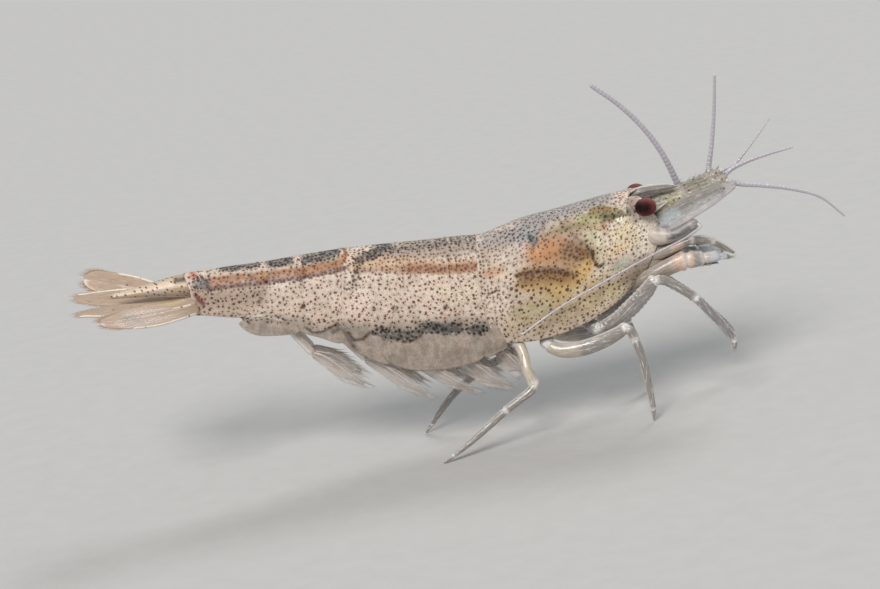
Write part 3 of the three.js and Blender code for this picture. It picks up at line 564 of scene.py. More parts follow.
LAP = 0.34  # how far a plate reaches over the next one
STEP = 0.06  # how much it stands proud there
for number in range(1, 7):
    share, round_by, down = shell_grid(46, 141)
    on_top = ramp(down, 0.48, 0.28)
    over_both = (1 - on_top) if number == 2 else 0.0  # the second side plate laps both ways
    seam_rear = lambda z, down: through(SEAMS[number], z) - LAP
    seam_front = lambda z, down: through(SEAMS[number - 1], z) + LAP
    lift = STEP * ramp(share, 0.16, 0) ** 2 - 0.16 * ramp(share, 0.86, 1) ** 2 * (1 - over_both)
    lift = lift + 0.05 * over_both

    def lower_edge(x, part):
        """The side plate's lobe: the tail's lower edge, rounded up at both corners."""
        if number == 6:
            return through(LAST_EDGE, x)
        return np.minimum(through(TAIL_EDGE, x), through(BELLY, x) + 0.3) + 0.6 * np.abs(2 * part - 1) ** 4

    points = arched(seam_rear, seam_front, lower_edge, share, round_by, lift)
    x, y, z = np.moveaxis(points, -1, 0)
    below_ridge, below_muscle = through(BACK, x) - z, through(MUSCLE_EDGE, x) - z
    clear = ramp(below_muscle, -0.35, 0.35)
    hem = halving(1 - down, 0.015) + 0.7 * halving(share, 0.03) * ramp(down, 0.1, 0.6)
    stain = glaze(stains_and_painted_light_at(x, z, TAIL_MARKS), np.clip(hem, 0, 1) * 0.7, (0.62, 0.53, 0.45))
    ink = gathered(x, z, TAIL_INK)
    crowd = 0.5 + 0.5 * ramp(below_ridge, 1.5, 0.9) * ramp(x, -9.3, -8.6) - 0.5 * ramp(below_muscle, 0, 0.9)
    crowd += heaped(x, z, TAIL_CROWD) + 0.5 * ink
    plate = shell_patch(points, stain, clear, crowd, np.zeros_like(x), ink)
    walled(build(f"tail_plate_{number}", [plate], shell_finish, "shell", f"abdomen_{number}"))


# --------------------------------------------------------------------------------------- carapace
# One stiff saddle of the same horn over head and chest, open below, notched for the eyes in front.
# The stomach shows through it as a rust-brown patch over a dark arch, and the gut's bulk as yellow.
CARAPACE_EDGE = [(0, 6.95), (2, 6.75), (4, 6.9), (6, 7.4), (8, 8.3), (10, 9.8), (11.7, 11.2)]
FRONT_EDGE = [(0, 10.9), (0.1, 10.3), (0.2, 9.9), (0.32, 10.5), (0.45, 11.1), (0.6, 11.55), (0.78, 11.6),
              (0.9, 11.1), (1, 10.3)]
STOMACH_EDGE = [(5.7, 13.2), (6.4, 12.62), (6.68, 12.07), (6.78, 11.45), (6.98, 10.95), (7.39, 11.08)]
ARCH_LINE = [(1.3, 11.2), (1.6, 11.32), (2.19, 11.43), (3.02, 11.42), (3.89, 11.32), (4.71, 11.07),
             (5.33, 10.7), (5.6, 10.3)]
CARAPACE_MARKS = [
    ([(0.6, 13.4), (2.2, 13.6), (3.0, 13.9)], (1.2, 0.6), LILAC, 0.85),
    ([(4.0, 14.3), (8.0, 14.75)], (1.2, 0.3), LILAC, 0.8),
    # Partly painted shade: the saddle's rear is cream-grey in its own right, and this patch lays it darker
    # because that part faces the lamp and catches more light.
    ([(0.2, 12.7), (1.7, 12.5)], (0.9, 0.7), (0.47, 0.37, 0.29), 0.8),
    ([(0.3, 11.7)], (0.7, 0.6), PEACH, 0.4),
    ([(-0.2, 11.75), (0.4, 11.8)], (0.4, 0.24), (0.50, 0.25, 0.12), 0.6),
    ([(4.2, 13.2), (5.6, 13.6), (7.2, 13.6)], (1.0, 0.5), (0.37, 0.28, 0.17), 0.85),
    ([(4.6, 13.0), (5.6, 12.9)], (0.9, 0.4), (0.36, 0.23, 0.155), 0.6),
    ([(5.0, 13.55), (6.6, 13.75)], (0.6, 0.1), OLIVE, 0.45),
    ([(6.77, 12.62), (7.0, 12.9)], (0.5, 0.45), (0.60, 0.55, 0.37), 0.85),
    ([(7.23, 12.06), (7.1, 11.5)], (0.45, 0.6), (0.70, 0.66, 0.50), 0.85),
    ([(3.4, 12.4), (5.0, 12.1), (5.9, 11.7)], (1.0, 0.75), (0.40, 0.205, 0.08), 0.95),
    ([(3.5, 12.75), (4.6, 12.7)], (0.75, 0.5), (0.50, 0.23, 0.085), 0.9),
    ([(3.35, 12.5)], (0.5, 0.5), (0.56, 0.26, 0.10), 0.7),
    ([(5.5, 12.25), (6.1, 11.8)], (0.85, 0.62), (0.16, 0.08, 0.022), 0.9),
    ([(6.1, 11.1), (6.4, 11.3)], (0.45, 0.3), (0.70, 0.46, 0.18), 0.8),
    ([(3.32, 13.31), (3.05, 12.95)], (0.13, 0.2), SLATE, 0.8),
    ([(2.6, 13.7), (3.1, 13.45)], (0.35, 0.3), (0.33, 0.36, 0.36), 0.6),
    (STOMACH_EDGE[:3], 0.09, (0.09, 0.06, 0.04), 0.5),
    (STOMACH_EDGE[2:], 0.10, (0.03, 0.022, 0.012), 0.97),
    ([(2.0, 11.65), (4.2, 11.75), (5.5, 11.3)], (0.5, 0.2), (0.52, 0.36, 0.22), 0.5),
    ([(4.4, 9.92), (5.28, 10.04), (5.6, 10.5)], (0.9, 0.55), YELLOW, 0.9),
    ([(2.35, 10.7), (3.4, 10.4)], (0.9, 0.6), (0.55, 0.39, 0.19), 0.85),
    ([(2.4, 8.8), (4.2, 8.9), (6.2, 9.3)], (1.5, 0.9), (0.52, 0.41, 0.23), 0.8),
    ([(5.6, 8.9), (6.8, 9.3)], (0.7, 0.5), (0.76, 0.58, 0.38), 0.75),
    ([(1.6, 9.0), (2.8, 8.7)], (0.8, 0.4), (0.44, 0.43, 0.31), 0.5),
    ([(1.0, 7.9), (4.0, 7.7), (7.0, 8.7), (9.0, 10.0)], (1.2, 0.8), (0.52, 0.42, 0.29), 0.65),
    ([(5.64, 9.68), (6.62, 10.28), (7.3, 10.5)], (0.5, 0.22), CREAM, 0.75),
    ([(2.1, 10.95), (3.4, 10.9), (4.8, 10.6)], (0.7, 0.5), (0.33, 0.20, 0.07), 0.6),
    ([(px, pz - 0.24) for px, pz in ARCH_LINE[2:6]], 0.40, (0.19, 0.085, 0.02), 0.85),
    ([(px, pz - 0.03) for px, pz in ARCH_LINE[1:7]], 0.14, (0.07, 0.025, 0.008), 0.75),
    ([(8.6, 12.6), (9.5, 12.2), (9.4, 13.0)], (0.8, 0.6), (0.76, 0.63, 0.40), 0.65),
    ([(8.0, 11.6), (8.6, 11.8)], (0.5, 0.3), (0.76, 0.56, 0.30), 0.6),
    ([(7.85, 14.2), (8.7, 14.1)], (0.6, 0.3), (0.30, 0.27, 0.11), 0.85),
    ([(8.0, 13.85), (8.9, 13.75), (9.7, 13.9)], (0.45, 0.2), OLIVE, 0.95),
    ([(7.0, 13.95), (7.7, 13.75)], (0.45, 0.22), OLIVE, 0.8),
    ([(7.7, 13.4)], (0.4, 0.25), (0.50, 0.26, 0.12), 0.5),
    ([(7.5, 14.35), (8.3, 14.3)], (0.35, 0.14), (0.30, 0.15, 0.06), 0.6),
    ([(6.6, 14.0), (7.4, 13.75)], (0.4, 0.25), (0.52, 0.50, 0.27), 0.65),
    # Painted highlight: a small near-white glint on the carapace's front flank.
    ([(8.95, 13.58), (9.2, 13.66)], (0.24, 0.09), (0.98, 0.92, 0.70), 1.0),
    ([(8.72, 10.88), (8.3, 10.75)], (0.55, 0.3), (0.50, 0.53, 0.44), 0.85),
    # Partly painted light: the front of the head below the eye is pale in its own right, and is made paler
    # still to lift the shade at the carapace's front edge.
    ([(10.78, 12.8), (11.0, 12.0), (10.5, 11.2)], (0.85, 0.75), (0.84, 0.76, 0.65), 0.92),
    ([(9.9, 14.35), (10.1, 13.8), (10.0, 13.4)], (0.28, 0.25), (0.33, 0.28, 0.27), 0.75),
    ([(10.3, 13.95), (10.25, 13.5)], 0.07, (0.80, 0.76, 0.74), 0.7),
    ([(9.5, 14.3), (9.45, 13.9)], 0.07, (0.70, 0.66, 0.64), 0.6),
    ([(-0.5, 10.4), (0.2, 10.6)], 0.09, BROWN, 0.8),
    ([(8.15, 9.35), (7.7, 9.1)], (0.4, 0.28), (0.66, 0.58, 0.28), 0.6),
    ([(8.9, 9.7), (10.1, 10.6)], (0.6, 0.4), (0.36, 0.29, 0.24), 0.65),
    # Partly painted light: the beige over the leg bases, made paler than its own colour to offset the shade
    # under the carapace's lower margin.
    ([(6.8, 8.1), (8.2, 8.9)], (0.7, 0.35), (0.72, 0.61, 0.45), 0.7),
    ([(6.4, 10.0)], (0.4, 0.3), (0.45, 0.22, 0.12), 0.3),
]
CARAPACE_CROWD = [
    ([(0.2, 12.9), (2.2, 13.3)], (1.6, 0.9), 0.5),
    ([(4.5, 14.4), (9.0, 14.8)], (1.5, 0.35), 0.5),
    ([(8.8, 12.9), (9.7, 12.3), (8.0, 11.9)], (0.75, 0.75), 0.5),
    ([(7.4, 13.5), (9.0, 13.9)], (0.7, 0.35), 0.5),
    ([(-0.3, 10.2), (0.9, 9.8)], (0.8, 0.9), 0.4),
    ([(6.3, 10.1), (7.4, 10.6)], (0.4, 0.3), 0.5),
    ([(5.4, 12.1), (6.1, 11.7)], (0.9, 0.6), 0.4),
    ([(1.9, 11.15), (3.3, 11.2), (4.8, 10.8)], (0.4, 0.3), 0.7),
    ([(3.4, 12.6), (4.4, 12.9)], (0.8, 0.5), -0.15),
    ([(7.0, 12.0)], (0.35, 0.7), -0.45),
    ([(8.6, 10.85)], (0.7, 0.35), -0.5),
    ([(11.0, 12.8), (10.9, 12.0)], (0.55, 0.9), -0.45),
    ([(5.8, 9.8), (6.6, 10.3)], (0.4, 0.2), -0.4),
    ([(9.2, 9.9), (10.4, 10.8)], (0.7, 0.5), -0.3),
]
CARAPACE_COARSE = [([(1.8, 10.3), (3.5, 10.2), (5.0, 10.0)], (0.9, 0.5), 1.0),
                   ([(1.8, 9.2), (3.5, 9.3), (6.0, 9.0)], (1.0, 0.8), 0.7)]
CARAPACE_INK = [([(1.8, 13.75), (3.2, 13.5)], (0.8, 0.3), 0.35),
                ([(2.9, 13.4), (3.4, 13.1)], (0.2, 0.3), 0.6),
                ([(8.1, 13.9), (9.2, 13.8)], (0.4, 0.15), 0.5)]
share, round_by, down = shell_grid(130, 201)
groove = 0.05 * halving(share - 0.60 - 0.10 * np.sin(down * 5), 0.016) * ramp(down, 0.25, 0.5)
points = arched(lambda z, down: through(SEAMS[0], z) - LAP, lambda z, down: through(FRONT_EDGE, down),
                lambda x, part: through(CARAPACE_EDGE, x), share, round_by,
                STEP * ramp(share, 0.08, 0) ** 2 - groove)
x, y, z = np.moveaxis(points, -1, 0)
hem = halving(1 - down, 0.012) + 0.8 * halving(1 - share, 0.010)
stain = glaze(stains_and_painted_light_at(x, z, CARAPACE_MARKS), np.clip(hem, 0, 1) * 0.45, (0.60, 0.52, 0.45))
above = z - through(CARAPACE_EDGE, x)
clear = 0.5 * ramp(above, 0.9, 0.1) * ramp(x, 5.5, 8.0)
coarse, ink = gathered(x, z, CARAPACE_COARSE), gathered(x, z, CARAPACE_INK)
crowd = 0.5 + heaped(x, z, CARAPACE_CROWD) + 0.5 * ink
saddle = shell_patch(points, stain, clear, crowd, coarse, ink)
walled(build("carapace_shell", [saddle], shell_finish, "shell", "carapace"))


# ------------------------------------------------------------------------------- flesh under shell
# Muscle and sternum fill the shell from the neck to the tail fan; only their underside is seen,
# crossed by a shallow crease at each segment.
ROUND_END = 0.6  # how much of each end is drawn in
FLESH_SIDES = 48


def lengthwise(x, top, bottom, half):
    """A body along x: at each x an ellipse between the top and bottom heights, of that half width,
    its ends drawn in as a quarter circle is."""
    turn = np.linspace(0, 2 * np.pi, FLESH_SIDES + 1)
    inset = np.clip(np.minimum(x - x[0], x[-1] - x) / ROUND_END, 0, 1)
    fit = np.sqrt(1 - (1 - inset) ** 2).clip(0.02)[:, None]
    middle, reach = ((top + bottom) / 2)[:, None], ((top - bottom) / 2)[:, None]
    grid = np.stack([np.repeat(x[:, None], FLESH_SIDES, 1), half[:, None] * fit * np.cos(turn[:-1]),
                     middle + reach * fit * np.sin(turn[:-1])], -1)
    uv = np.stack(np.broadcast_arrays(x[:, None], turn[None] * (half + reach[:, 0])[:, None] / 2), -1)
    edge = np.repeat(np.abs(np.sin(turn[None, :-1])), len(x), 0)
    return patch(grid, uv, closed=True, edge=edge)


muscle = Finish("milky_muscle")
fibre = muscle.noise(muscle.place((0.5, 2.0, 2.0)), 1.4, 3.0)
muscle.give(Base_Color=muscle.blend(fibre, (0.42, 0.34, 0.28), (0.66, 0.56, 0.47)),
            Normal=muscle.bump(fibre, 0.05), Roughness=0.5)
x = np.linspace(-19.1, 11.2, 220)
creases = sum(0.14 * bell(x - crease, 0.22) for crease in (-16.2, -13.1, -10.6, -7.6, -1.3, 0.1))
flesh = lengthwise(x, through(BACK, x) - 0.35, through(BELLY, x) + creases, through(HALF_WIDTH, x) - 0.3)
build("flesh_core", [flesh], muscle.material, "shell")


# ------------------------------------------------------------------------------------------- beak
# A thin blade of clear horn stands on edge between the eyes, grown in one with the carapace; its
# upper rim is thickened and toothed, and long canals run inside it.
class Path:
    """The line of a limb: a smooth curve through stations of x, y, z, half width and, where it
    differs, half thickness, measured in millimetres along it. The width lies along the across
    direction, as nearly as the line's own direction allows."""

    def __init__(self, stations, across=(0, 1, 0)):
        table = np.array([list(station) + [station[3]] * (5 - len(station)) for station in stations], float)
        knots = np.r_[0, np.cumsum(np.linalg.norm(np.diff(table[:, :3], axis=0), axis=1))]
        fine = np.linspace(0, knots[-1], 500)
        self.line = through(np.column_stack([knots, table[:, :3]]), fine, swing=True)
        self.size = through(np.column_stack([knots, table[:, 3:]]), fine)
        self.gone = np.r_[0, np.cumsum(np.linalg.norm(np.diff(self.line, axis=0), axis=1))]
        self.length = self.gone[-1]
        self.station_mm = np.interp(knots, fine, self.gone)
        self.across = np.asarray(across, float)

    def at(self, mm):
        """At each of the lengths mm: the centre, the unit vectors forward, sideways and upward, the
        half width and the half thickness."""
        read = lambda rows: np.stack([np.interp(mm, self.gone, column) for column in rows.T], -1)
        forward = read(np.gradient(self.line, self.gone, axis=0))
        forward /= np.linalg.norm(forward, axis=1, keepdims=True)
        side = self.across - forward * (forward @ self.across)[:, None]
        side /= np.linalg.norm(side, axis=1, keepdims=True)
        wide, thick = read(self.size).T
        return read(self.line), forward, side, np.cross(forward, side), wide, thick


def tube(path, rows=40, sides=20, joints=(), flat=False, cup=0.0, rib=0.0, rings=0.0, stains_and_painted_light=()):
    """A limb or blade swept along a path: each ring is an ellipse, and both ends close over a
    quarter circle. At a joint, given as the number of its station, the limb swells, then steps in.
    cup bends a blade's sides up, as a share of its width, rib thickens its middle line, and rings is the
    spacing in millimetres of shallow grooves. Each band of colour, whether pigment, painted light or painted
    shade, is (start, end, colour, strength, low, high): from start to end of the length, and from low to high
    across, where 1 is the sideways edge of a flat blade, or the top of a round limb."""
    ends = path.size[0, 0], path.size[-1, 0]
    quarter = 1 - np.cos(np.linspace(0.12, np.pi / 2, 6))
    mm = np.r_[ends[0] * quarter, path.length - ends[1] * quarter,
               np.linspace(ends[0], path.length - ends[1], rows)[1:-1]]
    joint_mm = path.station_mm[list(joints)]
    joint_size = np.interp(joint_mm, path.gone, path.size[:, 0])
    for joint, size in zip(joint_mm, joint_size):
        mm = np.r_[mm, joint + size * np.array([-0.9, -0.5, -0.25, -0.08, 0.0, 0.08, 0.25, 0.6])]
    mm = np.unique(np.clip(mm, 1e-3, path.length - 1e-3).round(4))
    centre, _, side, up, wide, thick = path.at(mm)
    close = np.minimum(np.clip(mm / ends[0], 0, 1), np.clip((path.length - mm) / ends[1], 0, 1))
    fit = np.sqrt(1 - (1 - close) ** 2)
    swell, white = np.ones_like(mm), np.zeros_like(mm)
    for joint, size in zip(joint_mm, joint_size):
        away = (mm - joint) / size
        swell += 0.14 * bell(away + 0.35, 0.5) - 0.22 * bell(away - 0.18, 0.28)
        white = np.maximum(white, bell(away, 0.5))
    if rings:
        swell -= 0.12 * np.cos(np.pi * mm / rings) ** 8
    turn = np.linspace(0, 2 * np.pi, sides + 1)
    cosine, sine = np.cos(turn[:-1]), np.sin(turn[:-1])
    breadth = (wide * fit * swell)[:, None] * cosine
    depth = (thick * fit * swell)[:, None] * sine * (1 + rib * bell(cosine, 0.16))
    depth = depth + cup * (wide * fit)[:, None] * cosine ** 2
    points = centre[:, None] + breadth[..., None] * side[:, None] + depth[..., None] * up[:, None]
    round_mm = wide[:, None] * np.cos(turn) if flat else turn[None] * thick[:, None]
    uv = np.stack([np.repeat(mm[:, None], sides + 1, 1), round_mm], -1)
    across = np.repeat((cosine if flat else sine)[None], len(mm), 0)
    share = np.repeat((mm / path.length)[:, None], sides, 1)
    dye_and_painted_light = np.zeros((len(mm), sides, 4))
    for start, end, tint, power, *band in stains_and_painted_light:
        low, high = band or (-9, 9)
        inside = between(share, start, end, 0.015) * between(across, low, high, 0.15)
        dye_and_painted_light = glaze(dye_and_painted_light, inside * power, tint)
    # The edge mask runs along a flat blade's margins and along a round limb's top and bottom; the horn paints
    # a pale rim there, which on round limbs is a painted highlight along the outline.
    return patch(points, uv, closed=True, edge=np.abs(across), joint=np.repeat(white[:, None], sides, 1),
                 stain=dye_and_painted_light)


def bristles(roots, tips, thick, droop):
    """Slender three-sided spikes, each from its root by way of a middle moved by droop to its tip.
    Root and middle are small triangles round the line, and the tip is a single point."""
    forward = tips - roots
    side = np.cross(forward, (0.31, 0.89, 0.33))
    side /= np.linalg.norm(side, axis=1, keepdims=True)
    up = np.cross(forward, side)
    up /= np.linalg.norm(up, axis=1, keepdims=True)
    turn = np.arange(3) * 2 * np.pi / 3
    ring = side[:, None] * np.cos(turn)[:, None] + up[:, None] * np.sin(turn)[:, None]
    middle = ((roots + tips) / 2 + droop)[:, None]
    spots = np.concatenate([roots[:, None] + ring * thick, middle + ring * thick * 0.7, tips[:, None]],
                           axis=1)
    start = np.arange(len(roots))[:, None, None] * 7
    quads = (start + np.array([[0, 1, 4, 3], [1, 2, 5, 4], [2, 0, 3, 5]])).reshape(-1, 4)
    fans = (start + np.array([[2, 1, 0], [3, 4, 6], [4, 5, 6], [5, 3, 6]])).reshape(-1, 3)
    return {"spots": spots.reshape(-1, 3), "quads": quads, "quad_uv": np.zeros((len(quads), 4, 2)),
            "fans": fans, "fan_uv": np.zeros((len(fans), 3, 2)),
            "masks": {"edge": np.ones((len(roots) * 7, 1))}}


def fringe(path, start, end, count, length, lean, edges=(-1, 1), thick=0.02, seed=1):
    """Bristles in a row along a blade's edges, from start to end of its length: each stands on the
    blade's half width and points outwards and, the more the greater lean is and the nearer the
    tip, along the blade."""
    share = np.linspace(start, end, count)
    centre, forward, side, _, wide, _ = path.at(share * path.length)
    wide = wide * np.sqrt(np.clip(1 - ramp(share, 0.93, 1) ** 2, 0, 1))
    draw = np.random.default_rng(seed)
    rows = []
    for hand in edges:
        roots = centre + side * (hand * wide * 0.95)[:, None]
        turned = lean + (1 - lean) * ramp(share, start, 1) ** 2
        way = side * (hand * (1 - 0.8 * turned))[:, None] + forward * (0.35 + turned)[:, None]
        way += draw.normal(0, 0.05, way.shape)
        way /= np.linalg.norm(way, axis=1, keepdims=True)
        reach = length * draw.uniform(0.8, 1.1, count) * ramp(share, start - 0.02, start + 0.12).clip(0.3)
        rows.append(bristles(roots, roots + way * reach[:, None], thick, draw.normal(0, 0.012, way.shape)))
    return rows


def edge_rib(path, at, hand, inset, lift, thick, run_on, rows, sides, stain):
    """A slender rod along one edge of a blade, at the shares in at of its length: inset is how far
    out it lies, as a share of the half width, lift how far above the blade, and run_on how far it
    runs past its last point."""
    centre, forward, outwards, up, wide, _ = path.at(at * path.length)
    rim = centre + outwards * (hand * wide * inset)[:, None] + up * lift
    line = [(*spot, thick) for spot in rim] + [(*(rim[-1] + forward[-1] * run_on), 0.02)]
    return tube(Path(line), rows=rows, sides=sides, stains_and_painted_light=[(0, 1, *stain)])


def tuft(root, way, count, length, spread, thick=0.02, seed=1):
    """Bristles that fan out from about one place, mostly in one direction."""
    draw = np.random.default_rng(seed)
    roots = np.array(root) + draw.normal(0, 0.3 * spread, (count, 3))
    ways = np.array(way, float) / np.linalg.norm(way) + draw.normal(0, spread, (count, 3))
    tips = roots + ways * length * draw.uniform(0.6, 1.1, (count, 1))
    return bristles(roots, tips, thick, draw.normal(0, 0.03, (count, 3)))


def glassy(name, core, rim, knuckle, opacity, streak=0.5, speckle=0.0, sharp=5.0, flecks=0.0, gloss=1.0):
    """Clear horn over pale tissue, for limbs and fins: core along the middle, rim along the edges, the
    narrower the greater sharp is, knuckle at the joints, fibres running lengthwise, pale flecks and dark
    dots, as common as speckle says. On a round limb the edges are its top and bottom outline as seen from the
    side, and the rim there is a painted highlight standing in for the shine of glass; on a flat blade it is
    the blade's pale margin. Rims and joints are less see-through than the rest. gloss, from 0 to 1, is how
    wet it looks."""
    horn = Finish(name)
    at = horn.skin_place()
    fibres = horn.noise(horn.skin_place((0.8, 6.0, 1.0)), 1.8, 3.0)
    clouds = horn.noise(at, 2.2, 2.0)
    grit = horn.noise(at, 6.0, 2.0)
    edge = horn.math("POWER", horn.mask("edge")["Fac"], sharp)
    joint = horn.times(horn.mask("joint")["Fac"], horn.rise(grit, 0.3, 0.6, 0.5, 1.0))
    stain = horn.mask("stain")
    dyed = horn.times(stain["Alpha"], horn.rise(clouds, 0.25, 0.55, 0.6, 1.0))
    colour = horn.blend(dyed, core, stain["Color"])
    colour = horn.blend(horn.rise(fibres, 0.44, 0.28, 0.0, streak), colour, (0.45, 0.42, 0.40), "MULTIPLY")
    colour = horn.blend(horn.rise(fibres, 0.55, 0.70, 0.0, streak), colour, rim)
    colour = horn.blend(horn.rise(grit, 0.60, 0.68, 0.0, flecks), colour, (0.80, 0.76, 0.68))
    # Painted highlight on round limbs: the rim colour laid along the edge mask, their top and bottom outline
    # from the side, stands in for the shine of clear horn; on flat blades it is the pale margin.
    colour = horn.blend(horn.times(edge, horn.rise(clouds, 0.3, 0.6, 0.6, 0.95)), colour, rim)
    colour = horn.blend(joint, colour, knuckle)
    if speckle:
        nearest = horn.cells(at, 2.5, 0.85)
        chance = horn.parts(nearest["Color"])
        spot = horn.rise(nearest["Distance"], 0.24, 0.13)
        spot = horn.times(spot, horn.rise(chance[0], 1.0 - speckle, 1.04 - speckle, 0.0, 0.9))
        colour = horn.blend(spot, colour, (0.075, 0.05, 0.035))
    solid = horn.math("MAXIMUM", edge, horn.math("MAXIMUM", joint, stain["Alpha"]))
    solid = horn.math("MAXIMUM", solid, horn.rise(fibres, 0.45, 0.8))
    horn.give(Base_Color=colour, Alpha=horn.rise(solid, 0.0, 1.0, opacity, min(1.0, opacity + 0.25)),
              Normal=horn.bump(horn.math("ADD", fibres, grit), 0.02), Roughness=0.5 - 0.25 * gloss,
              Coat_Weight=0.1 + 0.4 * gloss, Coat_Roughness=0.12)
    return horn.material


beak_top = [(8.6, 14.85), (10.3, 15.05), (11, 15.14), (12, 15.09), (12.9, 14.93), (13.45, 14.7)]
beak_low = [(8.6, 14.3), (10.3, 14.4), (11.7, 14.5), (12.8, 14.58), (13.45, 14.66)]
beak_half = [(8.6, 0.42), (10.5, 0.28), (12.4, 0.14), (13.45, 0.05)]
BEAK_RINGS, BEAK_SIDES = 90, 32
x = np.linspace(8.6, BEAK_TIP_X, BEAK_RINGS)
turn = np.linspace(0, 2 * np.pi, BEAK_SIDES + 1)
sine = np.sin(turn[:-1])
teeth = 0.04 * (np.abs((x * 1.9) % 1 - 0.5) * 2)[:, None] * np.clip(sine, 0, 1) ** 8
middle = ((through(beak_top, x) + through(beak_low, x)) / 2)[:, None]
reach = ((through(beak_top, x) - through(beak_low, x)) / 2)[:, None]
keel = 0.7 + 0.5 * bell(sine, 0.2) + 0.35 * bell(sine - 0.93, 0.1)
half = through(beak_half, x)[:, None]
blade = np.stack([np.repeat(x[:, None], BEAK_SIDES, 1), half * np.cos(turn[:-1]) * keel,
                  middle + reach * sine + teeth], -1)
uv = np.stack(np.broadcast_arrays(x[:, None], turn[None] * 0.35), -1)
edge = np.repeat(np.abs(sine)[None], BEAK_RINGS, 0)
pale_rim = np.array([0.66, 0.62, 0.57, 1.0]) * np.where(sine > 0.8, 0.8, 0.0)[None, :, None]
pale_rim = np.repeat(pale_rim, BEAK_RINGS, 0)
beak = patch(blade, uv, closed=True, edge=edge, joint=0 * edge, stain=pale_rim)
beak_finish = glassy("beak_horn", (0.30, 0.28, 0.26), (0.72, 0.68, 0.63), (0.6, 0.55, 0.5), opacity=0.85,
                     streak=1.0, sharp=9.0)
build("beak", [beak], beak_finish, "shell")


# ------------------------------------------------------------------------------------------- eyes
# Each eye is a glassy dome on a short stalk. Black pigment fills its middle and rear under a clear,
# faceted outer layer, dark red shows in front of it, and the rim is paler and pink.
SIDES = ((-1, "right"), (1, "left"))


def on_side(side, stations):
    """The stations on one side of the body's middle plane."""
    return [(sx, side * sy, *rest) for sx, sy, *rest in stations]


EYES = {"right": (10.75, -2.4, 14.25), "left": (10.95, 2.4, 14.25)}
EYE_RADII = np.array([0.745, 0.66, 0.66])
CORE_SHARE = 0.94  # the pigment's size, as a share of the eye's
STALK = [(9.9, 0.5, 14.3, 0.46), (10.2, 1.1, 14.40, 0.44), (10.45, 1.7, 14.34, 0.48),
         (10.62, 2.1, 14.27, 0.54)]
EYE_MARKS = [
    ([(0.0, 0.0)], (2.0, 2.0), (0.42, 0.17, 0.15), 1.0),
    ([(0.0, -0.09), (0.20, -0.09)], (0.64, 0.62), (0.15, 0.032, 0.034), 1.0),
    ([(-0.55, 0.12), (-0.1, 0.07)], (0.42, 0.46), (0.001, 0.001, 0.001), 1.0),
]


DOME_RINGS, DOME_SIDES = 40, 56


def dome(centre, radii):
    """An ellipsoid about its middle, as rings from one pole along y to the other, and its stain."""
    angle = np.linspace(0.03, np.pi - 0.03, DOME_RINGS)[:, None]
    turn = np.linspace(0, 2 * np.pi, DOME_SIDES + 1)
    unit = np.stack(np.broadcast_arrays(np.sin(angle) * np.cos(turn[:-1]), -np.cos(angle),
                                        np.sin(angle) * np.sin(turn[:-1])), -1)
    spots = unit * radii
    uv = np.stack(np.broadcast_arrays(turn[None] * radii[0], angle * radii[0]), -1)
    return patch(spots + centre, uv, closed=True, stain=stains_and_painted_light_at(spots[..., 0], spots[..., 2], EYE_MARKS))


cornea = Finish("eye_cornea")
facets = cornea.node("TexVoronoi", {"Vector": cornea.place(), "Scale": 16.0}, feature="DISTANCE_TO_EDGE")
haze = cornea.noise(cornea.place(), 2.0)
cornea.give(Base_Color=cornea.blend(haze, (0.50, 0.30, 0.29), (0.40, 0.22, 0.22)),
            Normal=cornea.bump(facets.outputs["Distance"], 0.008), Roughness=0.1, Alpha=0.03,
            Specular_IOR_Level=0.35, Coat_Weight=0.1, Coat_Roughness=0.08)

pigment = Finish("eye_pigment")
patches = pigment.rise(pigment.noise(pigment.place(), 3.2, 3.0), 0.55, 0.7, 0.0, 0.03)
pigment.give(Base_Color=pigment.blend(patches, pigment.mask("stain")["Color"], (0.50, 0.24, 0.21)),
             Roughness=0.6, Specular_IOR_Level=0.03)

stalk_finish = glassy("eye_stalk_skin", (0.42, 0.31, 0.26), (0.62, 0.52, 0.46), (0.7, 0.6, 0.55),
                      opacity=1.0, streak=0.4, speckle=0.5)
for side, hand in SIDES:
    stalk = tube(Path(on_side(side, STALK)), rows=24, sides=24)
    build(f"eye_stalk_{hand}", [stalk], stalk_finish, "eye")
    core, outer = dome(EYES[hand], EYE_RADII * CORE_SHARE), dome(EYES[hand], EYE_RADII)
    build(f"eye_core_{hand}", [core], pigment.material, "eye")
    build(f"eye_cornea_{hand}", [outer], cornea.material, "eye", f"eye_{hand}")


